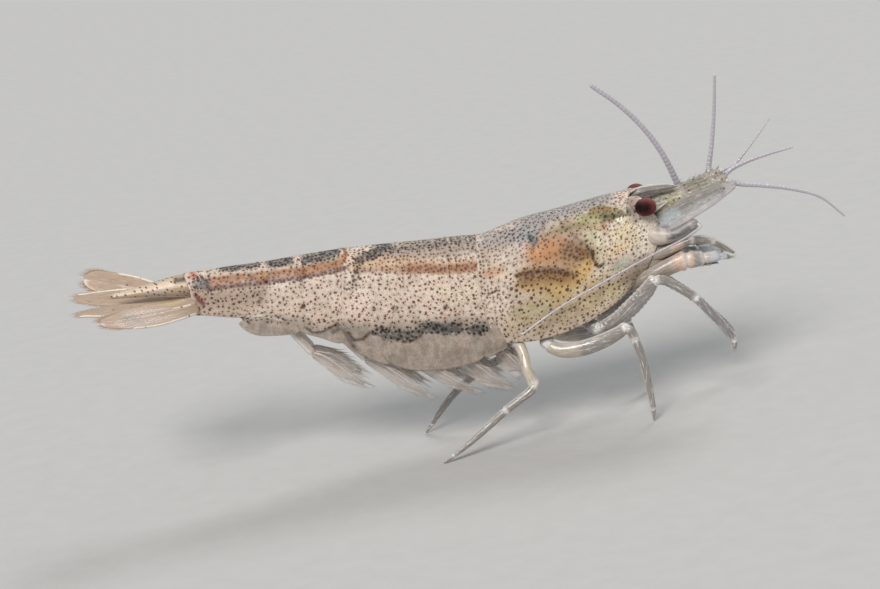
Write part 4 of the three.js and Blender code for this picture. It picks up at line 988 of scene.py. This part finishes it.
# -------------------------------------------------------------------------------------- mouthparts
# Jaws and small jaw legs lie packed under the head: a rounded mass with leaf-like plates laid over
# it, all brownish grey horn.
TAUPE = (0.31, 0.25, 0.195)
limb_finish = glassy("limb_horn", (0.25, 0.225, 0.20), (0.62, 0.58, 0.53), (0.70, 0.65, 0.61),
                     opacity=0.90, streak=0.7, speckle=0.06, sharp=6.0, gloss=0.5)
mouth_core = tube(Path([(9.4, 0, 10.6, 1.0, 1.0), (10.4, 0, 11.1, 1.15, 1.2), (11.5, 0, 11.0, 1.0, 1.1),
                        (12.5, 0, 10.9, 0.45, 0.6)]), stains_and_painted_light=[(0, 1, TAUPE, 0.9)])
leaves = [mouth_core]
for side, hand in SIDES:
    # where a leaf starts and ends, as x and z, how far out it lies and half its width
    for (rx, rz), (tx, tz), out, wide in (((8.4, 8.9), (11.6, 10.0), 1.45, 0.44),
                                          ((8.9, 9.6), (12.2, 10.6), 1.40, 0.46),
                                          ((9.4, 10.4), (12.6, 11.2), 1.35, 0.44)):
        leaf = [(rx, out - 0.5, rz, 0.25, 0.14),
                (rx * 0.6 + tx * 0.4, out, rz * 0.6 + tz * 0.4, wide, 0.2),
                (rx * 0.2 + tx * 0.8, out, rz * 0.2 + tz * 0.8, wide * 0.9, 0.16),
                (tx, out - 0.4, tz, 0.16, 0.1)]
        leaves.append(tube(Path(on_side(side, leaf), (-0.3, 0.1, 1)), flat=True, rows=30, sides=24,
                           stains_and_painted_light=[(0, 1, TAUPE, 0.75)]))
build("mouthparts_mass", leaves, limb_finish, "limb", "mouthparts")


# ------------------------------------------------------------------------- first and second antennae
# The first antenna's three-part stem, olive grey and peppered, carries two feelers, and a spine
# guards its root. The second has a stout base, a stem for the long feeler, and a broad clear scale
# with a rib and a tooth along its outer edge, which guards the side of the head.
ANTENNULE = [(10.6, 0.7, 13.65, 0.5, 0.55), (12.4, 0.85, 13.92, 0.54, 0.52), (13.6, 0.9, 14.13, 0.5, 0.47),
             (14.6, 0.95, 14.36, 0.46, 0.44), (15.8, 1, 14.66, 0.40, 0.38), (16.65, 1.05, 14.9, 0.30, 0.30)]
SPINE = [(10.9, 1.15, 13.3, 0.2, 0.12), (11.7, 1.32, 13.75, 0.16, 0.10), (12.5, 1.38, 14.15, 0.05, 0.05)]
ANTENNA_STEM = [(10.6, 1.15, 12.2, 0.8), (11.6, 1.75, 12.0, 0.62), (12.5, 2.12, 12.0, 0.44),
                (13.5, 2.28, 12.42, 0.40), (14.05, 2.3, 12.62, 0.34)]
SCALE = [(10.9, 1.3, 12.85, 0.45, 0.10), (12.3, 1.72, 13.15, 0.90, 0.10), (13.6, 1.98, 13.60, 0.84, 0.09),
         (15.0, 2.08, 14.07, 0.68, 0.08), (16.2, 2.08, 14.42, 0.42, 0.08), (16.95, 2.05, 14.58, 0.18, 0.07)]
antennule_finish = glassy("antennule_skin", (0.21, 0.185, 0.14), (0.40, 0.37, 0.31), (0.45, 0.41, 0.35),
                          opacity=0.95, streak=0.8, speckle=0.5, sharp=6.0, flecks=0.8, gloss=0.3)
scale_finish = glassy("scale_horn", (0.22, 0.208, 0.20), (0.46, 0.44, 0.43), (0.8, 0.8, 0.8),
                      opacity=0.92, streak=0.8, speckle=0.05, sharp=8.0, flecks=0.3, gloss=0.0)
antenna_finish = glassy("antenna_horn", (0.17, 0.16, 0.155), (0.44, 0.42, 0.40), (0.40, 0.36, 0.34),
                        opacity=0.95, streak=0.8, speckle=0.05, sharp=8.0, gloss=0.1)
for side, hand in SIDES:
    path = Path(on_side(side, ANTENNULE))
    stem = tube(path, rows=60, sides=28, joints=(2, 4), stains_and_painted_light=[
        (0.28, 0.50, (0.46, 0.42, 0.16), 0.5, -0.2, 0.9), (0.82, 1.0, (0.48, 0.40, 0.36), 0.6)])
    ridge = zip(*path.at(np.linspace(0.4, 0.97, 9) * path.length))
    hairs = [tuft(centre + up * thick * 0.9, forward + 0.9 * up, 5, 0.42, 0.16, 0.018, seed)
             for seed, (centre, forward, _, up, _, thick) in enumerate(ridge)]
    spine = tube(Path(on_side(side, SPINE)), rows=16, sides=12, stains_and_painted_light=[(0, 1, (0.55, 0.52, 0.48), 0.7)])
    build(f"antennule_stem_{hand}", [stem, spine, *hairs], antennule_finish, "limb", f"antennule_{hand}")
    base = tube(Path(on_side(side, ANTENNA_STEM)), rows=50, sides=28, stains_and_painted_light=[
        (0.0, 0.42, (0.62, 0.54, 0.46), 0.9), (0.42, 0.50, (0.62, 0.54, 0.46), 0.5),
        (0.40, 0.88, (0.50, 0.47, 0.46), 0.8, 0.55, 0.75),
        # Painted shade: this near-black band stands for the dark of a slit between the stem's parts.
        (0.44, 0.56, (0.02, 0.018, 0.016), 0.9, -0.35, -0.1),
        (0.5, 0.95, (0.55, 0.52, 0.51), 0.7, -0.7, -0.5), (0.84, 1.0, (0.46, 0.39, 0.39), 0.6)])
    build(f"antenna_stem_{hand}", [base], antenna_finish, "limb", f"antenna_{hand}")
    path = Path(on_side(side, SCALE), (0, 0.62 * side, -0.78))
    blade = tube(path, flat=True, rows=70, sides=44, rib=0.5, cup=0.05, stains_and_painted_light=[
        (0.0, 1.0, (0.26, 0.235, 0.185), 0.7, -1.2, -0.3),
        (0.05, 0.36, (0.33, 0.365, 0.385), 0.85, -0.45, 0.6),
        (0.2, 1.0, (0.40, 0.38, 0.38), 0.5, 0.45, 1.2), (0.86, 1.0, (0.46, 0.42, 0.44), 0.6)])
    rib = edge_rib(path, np.linspace(0.05, 0.96, 8), 1, 0.93, 0.10, 0.055, 0.5, 50, 8,
                   ((0.80, 0.77, 0.74), 0.9))
    build(f"antenna_scale_blade_{hand}", [blade, rib, *fringe(path, 0.55, 0.99, 34, 0.4, 0.7, (-1,))],
          scale_finish, "fin", f"antenna_scale_{hand}")


# ---------------------------------------------------------------- outer jaw legs and grasping legs
# The third jaw legs arch forward under the head. Behind them come two pairs of short legs, thick
# and brownish grey up to a peach wrist, with a dusky hand edged in bristles and a pearly pincer.
MAXILLIPED = {
    "right": [(10.0, 0.9, 10.3, 0.36), (11.6, 1.6, 10.8, 0.36), (12.7, 1.9, 11.2, 0.31),
              (13.5, 2.0, 11.36, 0.27), (14.2, 2.0, 11.3, 0.25), (14.85, 2.0, 11.0, 0.22),
              (15.5, 1.9, 10.52, 0.18), (16.25, 1.75, 9.92, 0.07)],
    "left": [(10.0, 0.9, 10.3, 0.36), (10.9, 1.6, 10.5, 0.36), (11.6, 1.85, 10.85, 0.33),
             (12.3, 1.95, 11, 0.3), (13, 1.95, 10.95, 0.26), (13.6, 1.9, 10.75, 0.22),
             (14.3, 1.8, 10.4, 0.10)],
}
CHELIPED_1 = [(9.3, 0.7, 9.4, 0.4), (10.7, 0.8, 9.75, 0.5), (12, 0.85, 9.95, 0.55), (13, 0.9, 10.1, 0.55),
              (13.6, 0.95, 9.98, 0.42), (14.2, 0.95, 9.8, 0.42), (15.0, 1.0, 9.75, 0.42),
              (15.45, 1.0, 9.68, 0.30)]
CHELIPED_2 = [(8.6, 1.2, 8.8, 0.4), (10.1, 1.8, 9.3, 0.46, 0.52), (11.6, 2, 9.84, 0.46, 0.56),
              (12.9, 2, 10.1, 0.46, 0.60), (13.5, 2, 10.05, 0.42, 0.55), (14.1, 2, 10.0, 0.38, 0.40),
              (14.8, 2, 9.98, 0.34, 0.36), (15.3, 2, 9.94, 0.22)]
WRIST, PEARL, TEAL, ROSE = (0.68, 0.44, 0.32), (0.52, 0.54, 0.58), (0.27, 0.28, 0.27), (0.56, 0.38, 0.34)
for side, hand in SIDES:
    stations = on_side(side, MAXILLIPED[hand])
    jaw_leg = tube(Path(stations), joints=(3, 5), rows=60, sides=24, stains_and_painted_light=[
        (0.0, 0.36, TAUPE, 0.8), (0.34, 0.47, (0.58, 0.38, 0.27), 0.7)])
    hairs = fringe(Path(stations, (0, 0, 1)), 0.55, 0.99, 30, 0.26, 0.5, (-1, 1), 0.014)
    build(f"jaw_leg_{hand}", [jaw_leg, *hairs], limb_finish, "limb", f"maxilliped_3_{hand}")
    # number, line, bands of colour, how far out the pincer lies, and where it starts and ends
    for number, line, bands, out, ((rx, rz), (tx, tz)) in (
        (1, CHELIPED_1, [(0.0, 0.50, TAUPE, 0.85), (0.48, 0.64, WRIST, 0.8), (0.64, 0.80, TEAL, 0.8),
                         (0.80, 1.0, PEARL, 0.9)], 1.0, ((15.2, 9.78), (16.15, 9.5))),
        (2, CHELIPED_2, [(0.0, 0.52, TAUPE, 0.85), (0.50, 0.555, (0.50, 0.38, 0.30), 0.8),
                         (0.555, 0.735, WRIST, 0.95), (0.735, 0.81, TEAL, 0.85), (0.81, 0.87, ROSE, 0.8),
                         (0.87, 1.0, PEARL, 0.95)], 2.0,
         ((15.0, 9.98), (15.72, 9.86))),
    ):
        stations = on_side(side, line)
        arm = tube(Path(stations), joints=(3, 5), rows=60, sides=28, stains_and_painted_light=bands)
        fingers = []
        for drop in (0.0, 0.16):
            finger = [(rx, out, rz + 0.05 - drop, 0.19, 0.15),
                      ((rx + tx) / 2, out, (rz + tz) / 2 + 0.08 - 1.2 * drop, 0.15, 0.12),
                      (tx, out, tz - 0.4 * drop, 0.05)]
            fingers.append(tube(Path(on_side(side, finger)), rows=16, sides=14,
                                stains_and_painted_light=[(0, 1, PEARL, 0.95)]))
        hairs = fringe(Path(stations, (0, 0, 1)), 0.70, 0.93, 34, 0.38, 0.45, (-1,), 0.02, number)
        for row in hairs:
            row["masks"] = {"stain": np.zeros((len(row["spots"]), 4)) + (0.07, 0.055, 0.045, 1.0)}
        ends = tuft((tx - 0.05, side * out, tz), (1, 0, -0.2), 12, 0.3, 0.25, 0.016, number)
        build(f"grasping_leg_{number}_{hand}", [arm, *fingers, *hairs, ends], limb_finish, "limb",
              f"cheliped_{number}_{hand}")


# -------------------------------------------------------------------------------------- feelers
# Six tapering whips of tiny rings, bluish lilac. The long right one is swept back along the body,
# the long left one stands up, and the two short pairs spread forward.
FEELERS = {
    "antenna_flagellum_right": ((0.16, 0.085, 0.075, 0.07), [
        (13.9, -2.35, 12.52), (14.12, -2.55, 12.34), (13.75, -2.75, 12.12), (12.97, -2.95, 11.84),
        (10.81, -3.12, 11.22), (6.87, -3.35, 9.93), (4.02, -3.4, 8.91), (1.2, -3.55, 7.6)]),
    "antenna_flagellum_left": ((0.27, 0.24, 0.19, 0.15), [
        (14.1, 2.33, 12.7), (14.0, 2.4, 13.6), (13.67, 2.4, 14.9), (13, 2.4, 16.84), (12.21, 2.5, 18.35),
        (10.82, 2.7, 20.24), (9.08, 3, 21.96)]),
    "antennule_inner_right": ((0.20, 0.17, 0.15, 0.06), [
        (16.35, -0.8, 14.9), (16.9, -0.72, 15.25), (18, -0.75, 15.63), (19.38, -0.85, 15.87),
        (21.27, -1, 16.08)]),
    "antennule_outer_right": ((0.19, 0.16, 0.11, 0.06), [
        (16.4, -1.2, 14.8), (16.95, -1.35, 14.5), (18.65, -1.4, 14.02), (20.59, -1.5, 13.43),
        (22.48, -1.6, 12.54), (23.93, -1.8, 10.99)]),
    "antennule_inner_left": ((0.20, 0.19, 0.15, 0.10), [
        (15.8, 1.2, 14.85), (15.95, 1.3, 15.45), (16.24, 1.35, 16.41), (16.71, 1.4, 18.38),
        (17.23, 1.5, 21.35)]),
    "antennule_outer_left": ((0.12, 0.10, 0.08, 0.04), [
        (16.5, 1.0, 14.95), (17.5, 1.05, 15.15), (18.46, 1.15, 15.89), (19.43, 1.25, 16.79),
        (20.5, 1.4, 17.81)]),
}
feeler_finish = glassy("feeler_horn", (0.40, 0.375, 0.42), (0.62, 0.59, 0.63), (0.6, 0.6, 0.6),
                       opacity=1.0, streak=0.25, sharp=3.0)
for name, (widths, line) in FEELERS.items():
    widths = np.interp(np.linspace(0, 1, len(line)), (0, 0.25, 0.6, 1), widths)
    whip = tube(Path([(*point, width) for point, width in zip(line, widths)]), rows=330, sides=12, rings=0.28,
                stains_and_painted_light=[(0.0, 0.06, (0.62, 0.58, 0.55), 0.7)])
    build(f"{name}_whip", [whip], feeler_finish, "feeler", name)


# ---------------------------------------------------------------------------------- walking legs
# Three pairs of slender legs in five parts, clear and glassy with whiter joints, small spines and a
# claw. The third pair is lifted; the fourth and fifth stand on their claws.
LEG_3 = [(5.6, 1.3, 7.4, 0.45), (6.5, 1.9, 6.62, 0.42, 0.46), (7.45, 2.15, 6.9, 0.42, 0.52),
         (8.8, 2.5, 7.78, 0.4, 0.6), (9.9, 2.7, 8.72, 0.38, 0.55), (10.6, 2.8, 9.33, 0.35, 0.4),
         (11, 2.83, 9.3, 0.34), (11.95, 2.95, 8.65, 0.31), (13, 3.1, 7.75, 0.31), (13.95, 3.2, 6.45, 0.30),
         (14.75, 3.35, 5.18, 0.29), (15.08, 3.4, 4.5, 0.24), (15.05, 3.42, 3.9, 0.16)]
LEG_3_LEFT = [(5.6, 1.3, 7.4, 0.45), (6.7, 1.9, 6.5, 0.42, 0.46), (7.8, 2.15, 6.45, 0.42, 0.52),
              (9.4, 2.5, 6.95, 0.4, 0.6), (10.7, 2.7, 7.6, 0.38, 0.55), (11.45, 2.8, 8, 0.35, 0.4),
              (11.9, 2.83, 7.95, 0.34), (12.85, 2.95, 7.2, 0.31), (13.87, 3.1, 6.2, 0.31),
              (14.9, 3.2, 4.9, 0.30), (15.85, 3.35, 3.7, 0.29), (16.25, 3.4, 3, 0.22),
              (16.25, 3.42, 2.4, 0.12)]
LEG_4 = [(3.1, 1.25, 7.1, 0.45), (3, 1.8, 6.15, 0.44), (3.65, 2.15, 5.7, 0.42, 0.46),
         (4.8, 2.4, 5.6, 0.42, 0.54), (6.4, 2.7, 5.88, 0.4, 0.52), (7.6, 3, 6.35, 0.37, 0.44),
         (8.15, 3.2, 6.62, 0.34), (8.38, 3.25, 6.4, 0.32), (8.58, 3.3, 5.8, 0.31), (8.83, 3.4, 4.6, 0.29),
         (9.02, 3.45, 2.2, 0.23), (9.06, 3.5, 0.9, 0.17), (8.98, 3.5, 0.06, 0.05)]
LEG_4_LEFT = [(3.6, 1.25, 7.1, 0.45), (3.6, 1.8, 6.15, 0.44), (4.3, 2.15, 5.6, 0.42, 0.46),
              (5.5, 2.4, 5.35, 0.42, 0.54), (7.1, 2.7, 5.45, 0.4, 0.52), (8.3, 3, 5.82, 0.37, 0.44),
              (8.75, 3.2, 6.05, 0.34), (8.95, 3.25, 5.8, 0.32), (9.13, 3.3, 5.2, 0.31),
              (9.45, 3.4, 4.1, 0.28), (9.77, 3.45, 2, 0.22), (9.9, 3.5, 0.9, 0.16), (9.86, 3.5, 0.06, 0.05)]
LEG_5 = [(0.8, 1.25, 7.2, 0.44), (1.05, 1.85, 6.6, 0.4), (1.22, 2.4, 5.9, 0.35), (1.24, 2.9, 5, 0.33),
         (1.38, 3.1, 4.4, 0.35), (1.48, 3.2, 3.98, 0.34), (1.2, 3.3, 3.65, 0.31), (0.54, 3.37, 3.3, 0.29),
         (-0.68, 3.5, 2.68, 0.27), (-2.15, 3.62, 1.78, 0.25), (-3.55, 3.75, 0.95, 0.20),
         (-4.6, 3.85, 0.40, 0.14), (-5.35, 3.93, 0.06, 0.05)]
LEG_5_LEFT = [(0.7, 1.25, 7.3, 0.44), (0.6, 1.85, 6.7, 0.42), (0.4, 2.4, 6, 0.36), (0.25, 2.9, 5.3, 0.33),
              (0.3, 3.1, 4.85, 0.35), (0.4, 3.15, 4.6, 0.34), (0.1, 3.2, 4.42, 0.31), (-0.7, 3.2, 4.1, 0.30),
              (-1.8, 3.22, 3.62, 0.28), (-2.9, 3.28, 2.95, 0.27), (-4.3, 3.4, 1.75, 0.24),
              (-5.35, 3.5, 0.6, 0.15), (-5.85, 3.55, 0.06, 0.05)]
BEIGE = (0.56, 0.48, 0.36)
LILAC_HORN = (0.20, 0.19, 0.215)
leg_finish = glassy("leg_horn", (0.30, 0.272, 0.252), (0.74, 0.70, 0.67), (0.88, 0.85, 0.82),
                    opacity=0.80, streak=0.8, sharp=7.0)
# number, lines of the right and left leg, the station of the knee, and a wash of colour
for number, pair, knee, wash in (
    (3, (LEG_3, LEG_3_LEFT), 5, (0.66, 0.97, LILAC_HORN, 0.75)),
    (4, (LEG_4, LEG_4_LEFT), 6, (0.0, 0.25, BEIGE, 0.6)),
    (5, (LEG_5, LEG_5_LEFT), 5, (0.0, 0.35, BEIGE, 0.9)),
):
    lifted = number == 3
    for (side, hand), line in zip(SIDES, pair):
        stations = on_side(side, line)
        leg = tube(Path(stations), rows=120, sides=24, joints=(1, knee, 8, 11), stains_and_painted_light=[wash],
                   rings=0.36 if lifted else 0.0)
        spines = fringe(Path(stations, (1, 0, 0.6)), 0.62, 0.94, 16, 0.16, 0.5, (-1, 1), 0.02)
        if lifted:
            foot = np.array(stations[-1][:3]) + (0, 0, 0.35)
            spines.append(tuft(foot, (0, 0, -1), 46, 0.42, 0.22))
        build(f"walking_leg_{number}_{hand}", [leg, *spines], leg_finish, "limb", f"leg_{number}_{hand}")


# ------------------------------------------------------------------------------------ swimmerets
# Five pairs of soft paddles hang under the tail, swung forward. Each has a stem, a broad outer
# blade and a narrow inner one, streaky and see-through, with combs of bristles at their ends.
SWIMMERETS = [
    ((-1.6, 0.9, 7.4), (-0.4, 1.1, 5.9), (1.0, 1.7, 4.7)),
    ((-4.6, 0.95, 7.8), (-3.0, 1.15, 6.0), (-0.5, 1.9, 4.05)),
    ((-7.9, 0.9, 8.6), (-6.0, 1.1, 6.5), (-2.6, 1.9, 4.15)),
    ((-10.9, 0.7, 9.6), (-9.0, 0.95, 7.2), (-5.7, 1.8, 4.5)),
    ((-13.9, 0.5, 10.4), (-12.4, 0.75, 8.2), (-9.7, 1.6, 5.95)),
]
swimmeret_finish = glassy("swimmeret_skin", (0.56, 0.485, 0.43), (0.84, 0.78, 0.73), (0.60, 0.53, 0.48),
                          opacity=0.45, gloss=0.2)
for number, (hip, knee, tip) in enumerate(SWIMMERETS, 1):
    def station(share, out, up, *size):
        """A station that share of the way from knee to tip, that far out and that much higher."""
        return knee[0] + share * (tip[0] - knee[0]), out, knee[2] + share * (tip[2] - knee[2]) + up, *size

    out = knee[1]
    broad = 1.0 if number < 3 else 0.8
    stem_line = [(hip[0], hip[1], hip[2] + 0.2, 0.36, 0.30), station(0, out, 0, 0.34, 0.22)]
    outer_line = [station(-0.04, out, 0, 0.30, 0.16), station(0.16, out + 0.1, 0, 0.62 * broad, 0.10),
                  station(0.42, (out + tip[1]) / 2 + 0.15, 0, 0.70 * broad, 0.07),
                  station(0.75, tip[1] + 0.1, 0, 0.40 * broad, 0.05), station(1.06, tip[1], 0, 0.06, 0.03)]
    inner_line = [station(-0.05, out - 0.2, 0.05, 0.24, 0.12), station(0.35, out - 0.45, 0.3, 0.50, 0.07),
                  station(0.86, out - 0.4, 0.4, 0.12, 0.04)]
    for side, hand in SIDES:
        stem, outer, inner = (Path(on_side(side, line), (0.6, 0.85 * side, 0.7))
                              for line in (stem_line, outer_line, inner_line))
        parts = [tube(stem, rows=14)]
        for blade, comb in ((outer, 1.1), (inner, 0.8)):
            parts.append(tube(blade, flat=True, rows=44, sides=28, cup=0.12, rib=1.0))
            parts += fringe(blade, 0.30, 0.99, 40, comb, 0.8, thick=0.020, seed=number)
        build(f"swimmeret_blades_{number}_{hand}", parts, swimmeret_finish, "swimmeret",
              f"swimmeret_{number}_{hand}")


# -------------------------------------------------------------------------------------- tail fan
# The tail plate in the middle, stout and dotted at its root, and two paddles each side, the outer
# one hinged across near its end; all clear beige horn, white along the outer edges, with a fringe.
TELSON = [(-19.0, 0, 14.15, 0.85, 0.78), (-20.4, 0, 14.3, 0.84, 0.72), (-21.5, 0, 14.36, 0.76, 0.56),
          (-22.8, 0, 14.4, 0.6, 0.38), (-24.2, 0, 14.42, 0.42, 0.22), (-24.95, 0, 14.42, 0.28, 0.14)]
# which way each paddle's width lies, and its stations
PADDLES = {
    "uropod_right_inner": ((-0.1, 1, 0.3), [
        (-19.3, -0.9, 13.3, 0.35, 0.26), (-21, -1.35, 13.45, 0.62, 0.14), (-23.2, -1.75, 13.68, 0.82, 0.08),
        (-25.3, -2.05, 13.98, 0.60, 0.06), (-27.05, -2.2, 14.15, 0.20, 0.05)]),
    "uropod_right_outer": ((0.25, 1, 0.3), [
        (-19.3, -0.95, 12.82, 0.4, 0.28), (-20.8, -2.05, 13.08, 0.78, 0.15), (-22.3, -3.1, 13.36, 1.02, 0.08),
        (-23.8, -4.15, 13.65, 0.94, 0.06), (-25.45, -5, 13.94, 0.40, 0.05)]),
    "uropod_left_inner": ((0, 1, 0.45), [
        (-19.3, 0.9, 13.4, 0.35, 0.26), (-21, 1.35, 13.5, 0.62, 0.14), (-22.6, 1.65, 13.65, 0.82, 0.10),
        (-24.2, 1.85, 13.83, 0.88, 0.08), (-25.9, 2.05, 14.02, 0.72, 0.06), (-27.4, 2.2, 14.3, 0.32, 0.05)]),
    "uropod_left_outer": ((-0.25, 0.6, 0.8), [
        (-19.3, 1.0, 12.7, 0.4, 0.28), (-20.95, 2.2, 13.05, 0.52, 0.15), (-22.4, 3.1, 13.6, 0.68, 0.10),
        (-24, 3.6, 14.18, 0.82, 0.08), (-25.6, 3.85, 14.75, 0.80, 0.06), (-26.7, 4, 15.1, 0.50, 0.05)]),
}
fan_finish = glassy("fan_horn", (0.45, 0.33, 0.24), (0.62, 0.485, 0.37), (0.62, 0.42, 0.32),
                    opacity=0.95, streak=0.45, speckle=0.04, sharp=9.0, gloss=0.15)
telson_finish = glassy("tail_plate_horn", (0.45, 0.335, 0.24), (0.56, 0.44, 0.34), (0.6, 0.5, 0.4),
                       opacity=1.0, streak=0.4, speckle=0.95, gloss=0.0)
path = Path(TELSON)
tail = tube(path, rows=80, sides=40, stains_and_painted_light=[(0.30, 0.60, (0.52, 0.46, 0.47), 0.6, -0.1, 0.3),
                                             # Painted light: this pale warm wash over one half of the plate's
                                             # round, along nearly its whole length, is laid on to brighten
                                             # the plate against its shade.
                                             (0.0, 0.95, (0.80, 0.64, 0.50), 0.85, -1.2, -0.15),
                                             (0.28, 0.62, (0.24, 0.17, 0.12), 0.5, -1.3, -0.85),
                                             (0.12, 0.27, (0.02, 0.018, 0.016), 0.98, -1.3, -0.52)])
build("telson_plate", [tail, *fringe(path, 0.86, 0.99, 7, 0.45, 0.9, thick=0.03)], telson_finish, "fin",
      "telson")
for name, (across, stations) in PADDLES.items():
    path = Path(stations, across)
    outer = name.endswith("outer")
    if outer:
        strong = 0.5 if "right" in name else 0.15
        stains_and_painted_light = [(0.62, 0.80, (0.25, 0.205, 0.165), strong, -0.8, 0.5),
                  (0.585, 0.60, (0.56, 0.33, 0.23), strong),
                  (0.90, 0.93, (0.50, 0.20, 0.18), strong, -0.9, 0.0),
                  (0.965, 1.0, (0.80, 0.73, 0.65), 0.7, -1.2, -0.1)]
    else:
        stains_and_painted_light = [(0.1, 0.45, (0.60, 0.46, 0.27), 0.6, -0.5, 0.5)]
    paddle = tube(path, flat=True, rows=90, sides=48, rib=0.5, cup=0.02, stains_and_painted_light=stains_and_painted_light)
    out_hand = -1 if across[1] * stations[-1][1] < 0 else 1
    rib = edge_rib(path, np.linspace(0.06, 0.72 if outer else 0.95, 9), out_hand, 0.95, 0.0, 0.075, 0.25,
                   60, 10, ((0.86, 0.79, 0.70), 0.95))
    hairs = fringe(path, 0.74 if outer else 0.5, 0.995, 60, 0.55, 0.75, thick=0.022)
    build(f"{name}_paddle", [paddle, rib, *hairs], fan_finish, "fin", name)
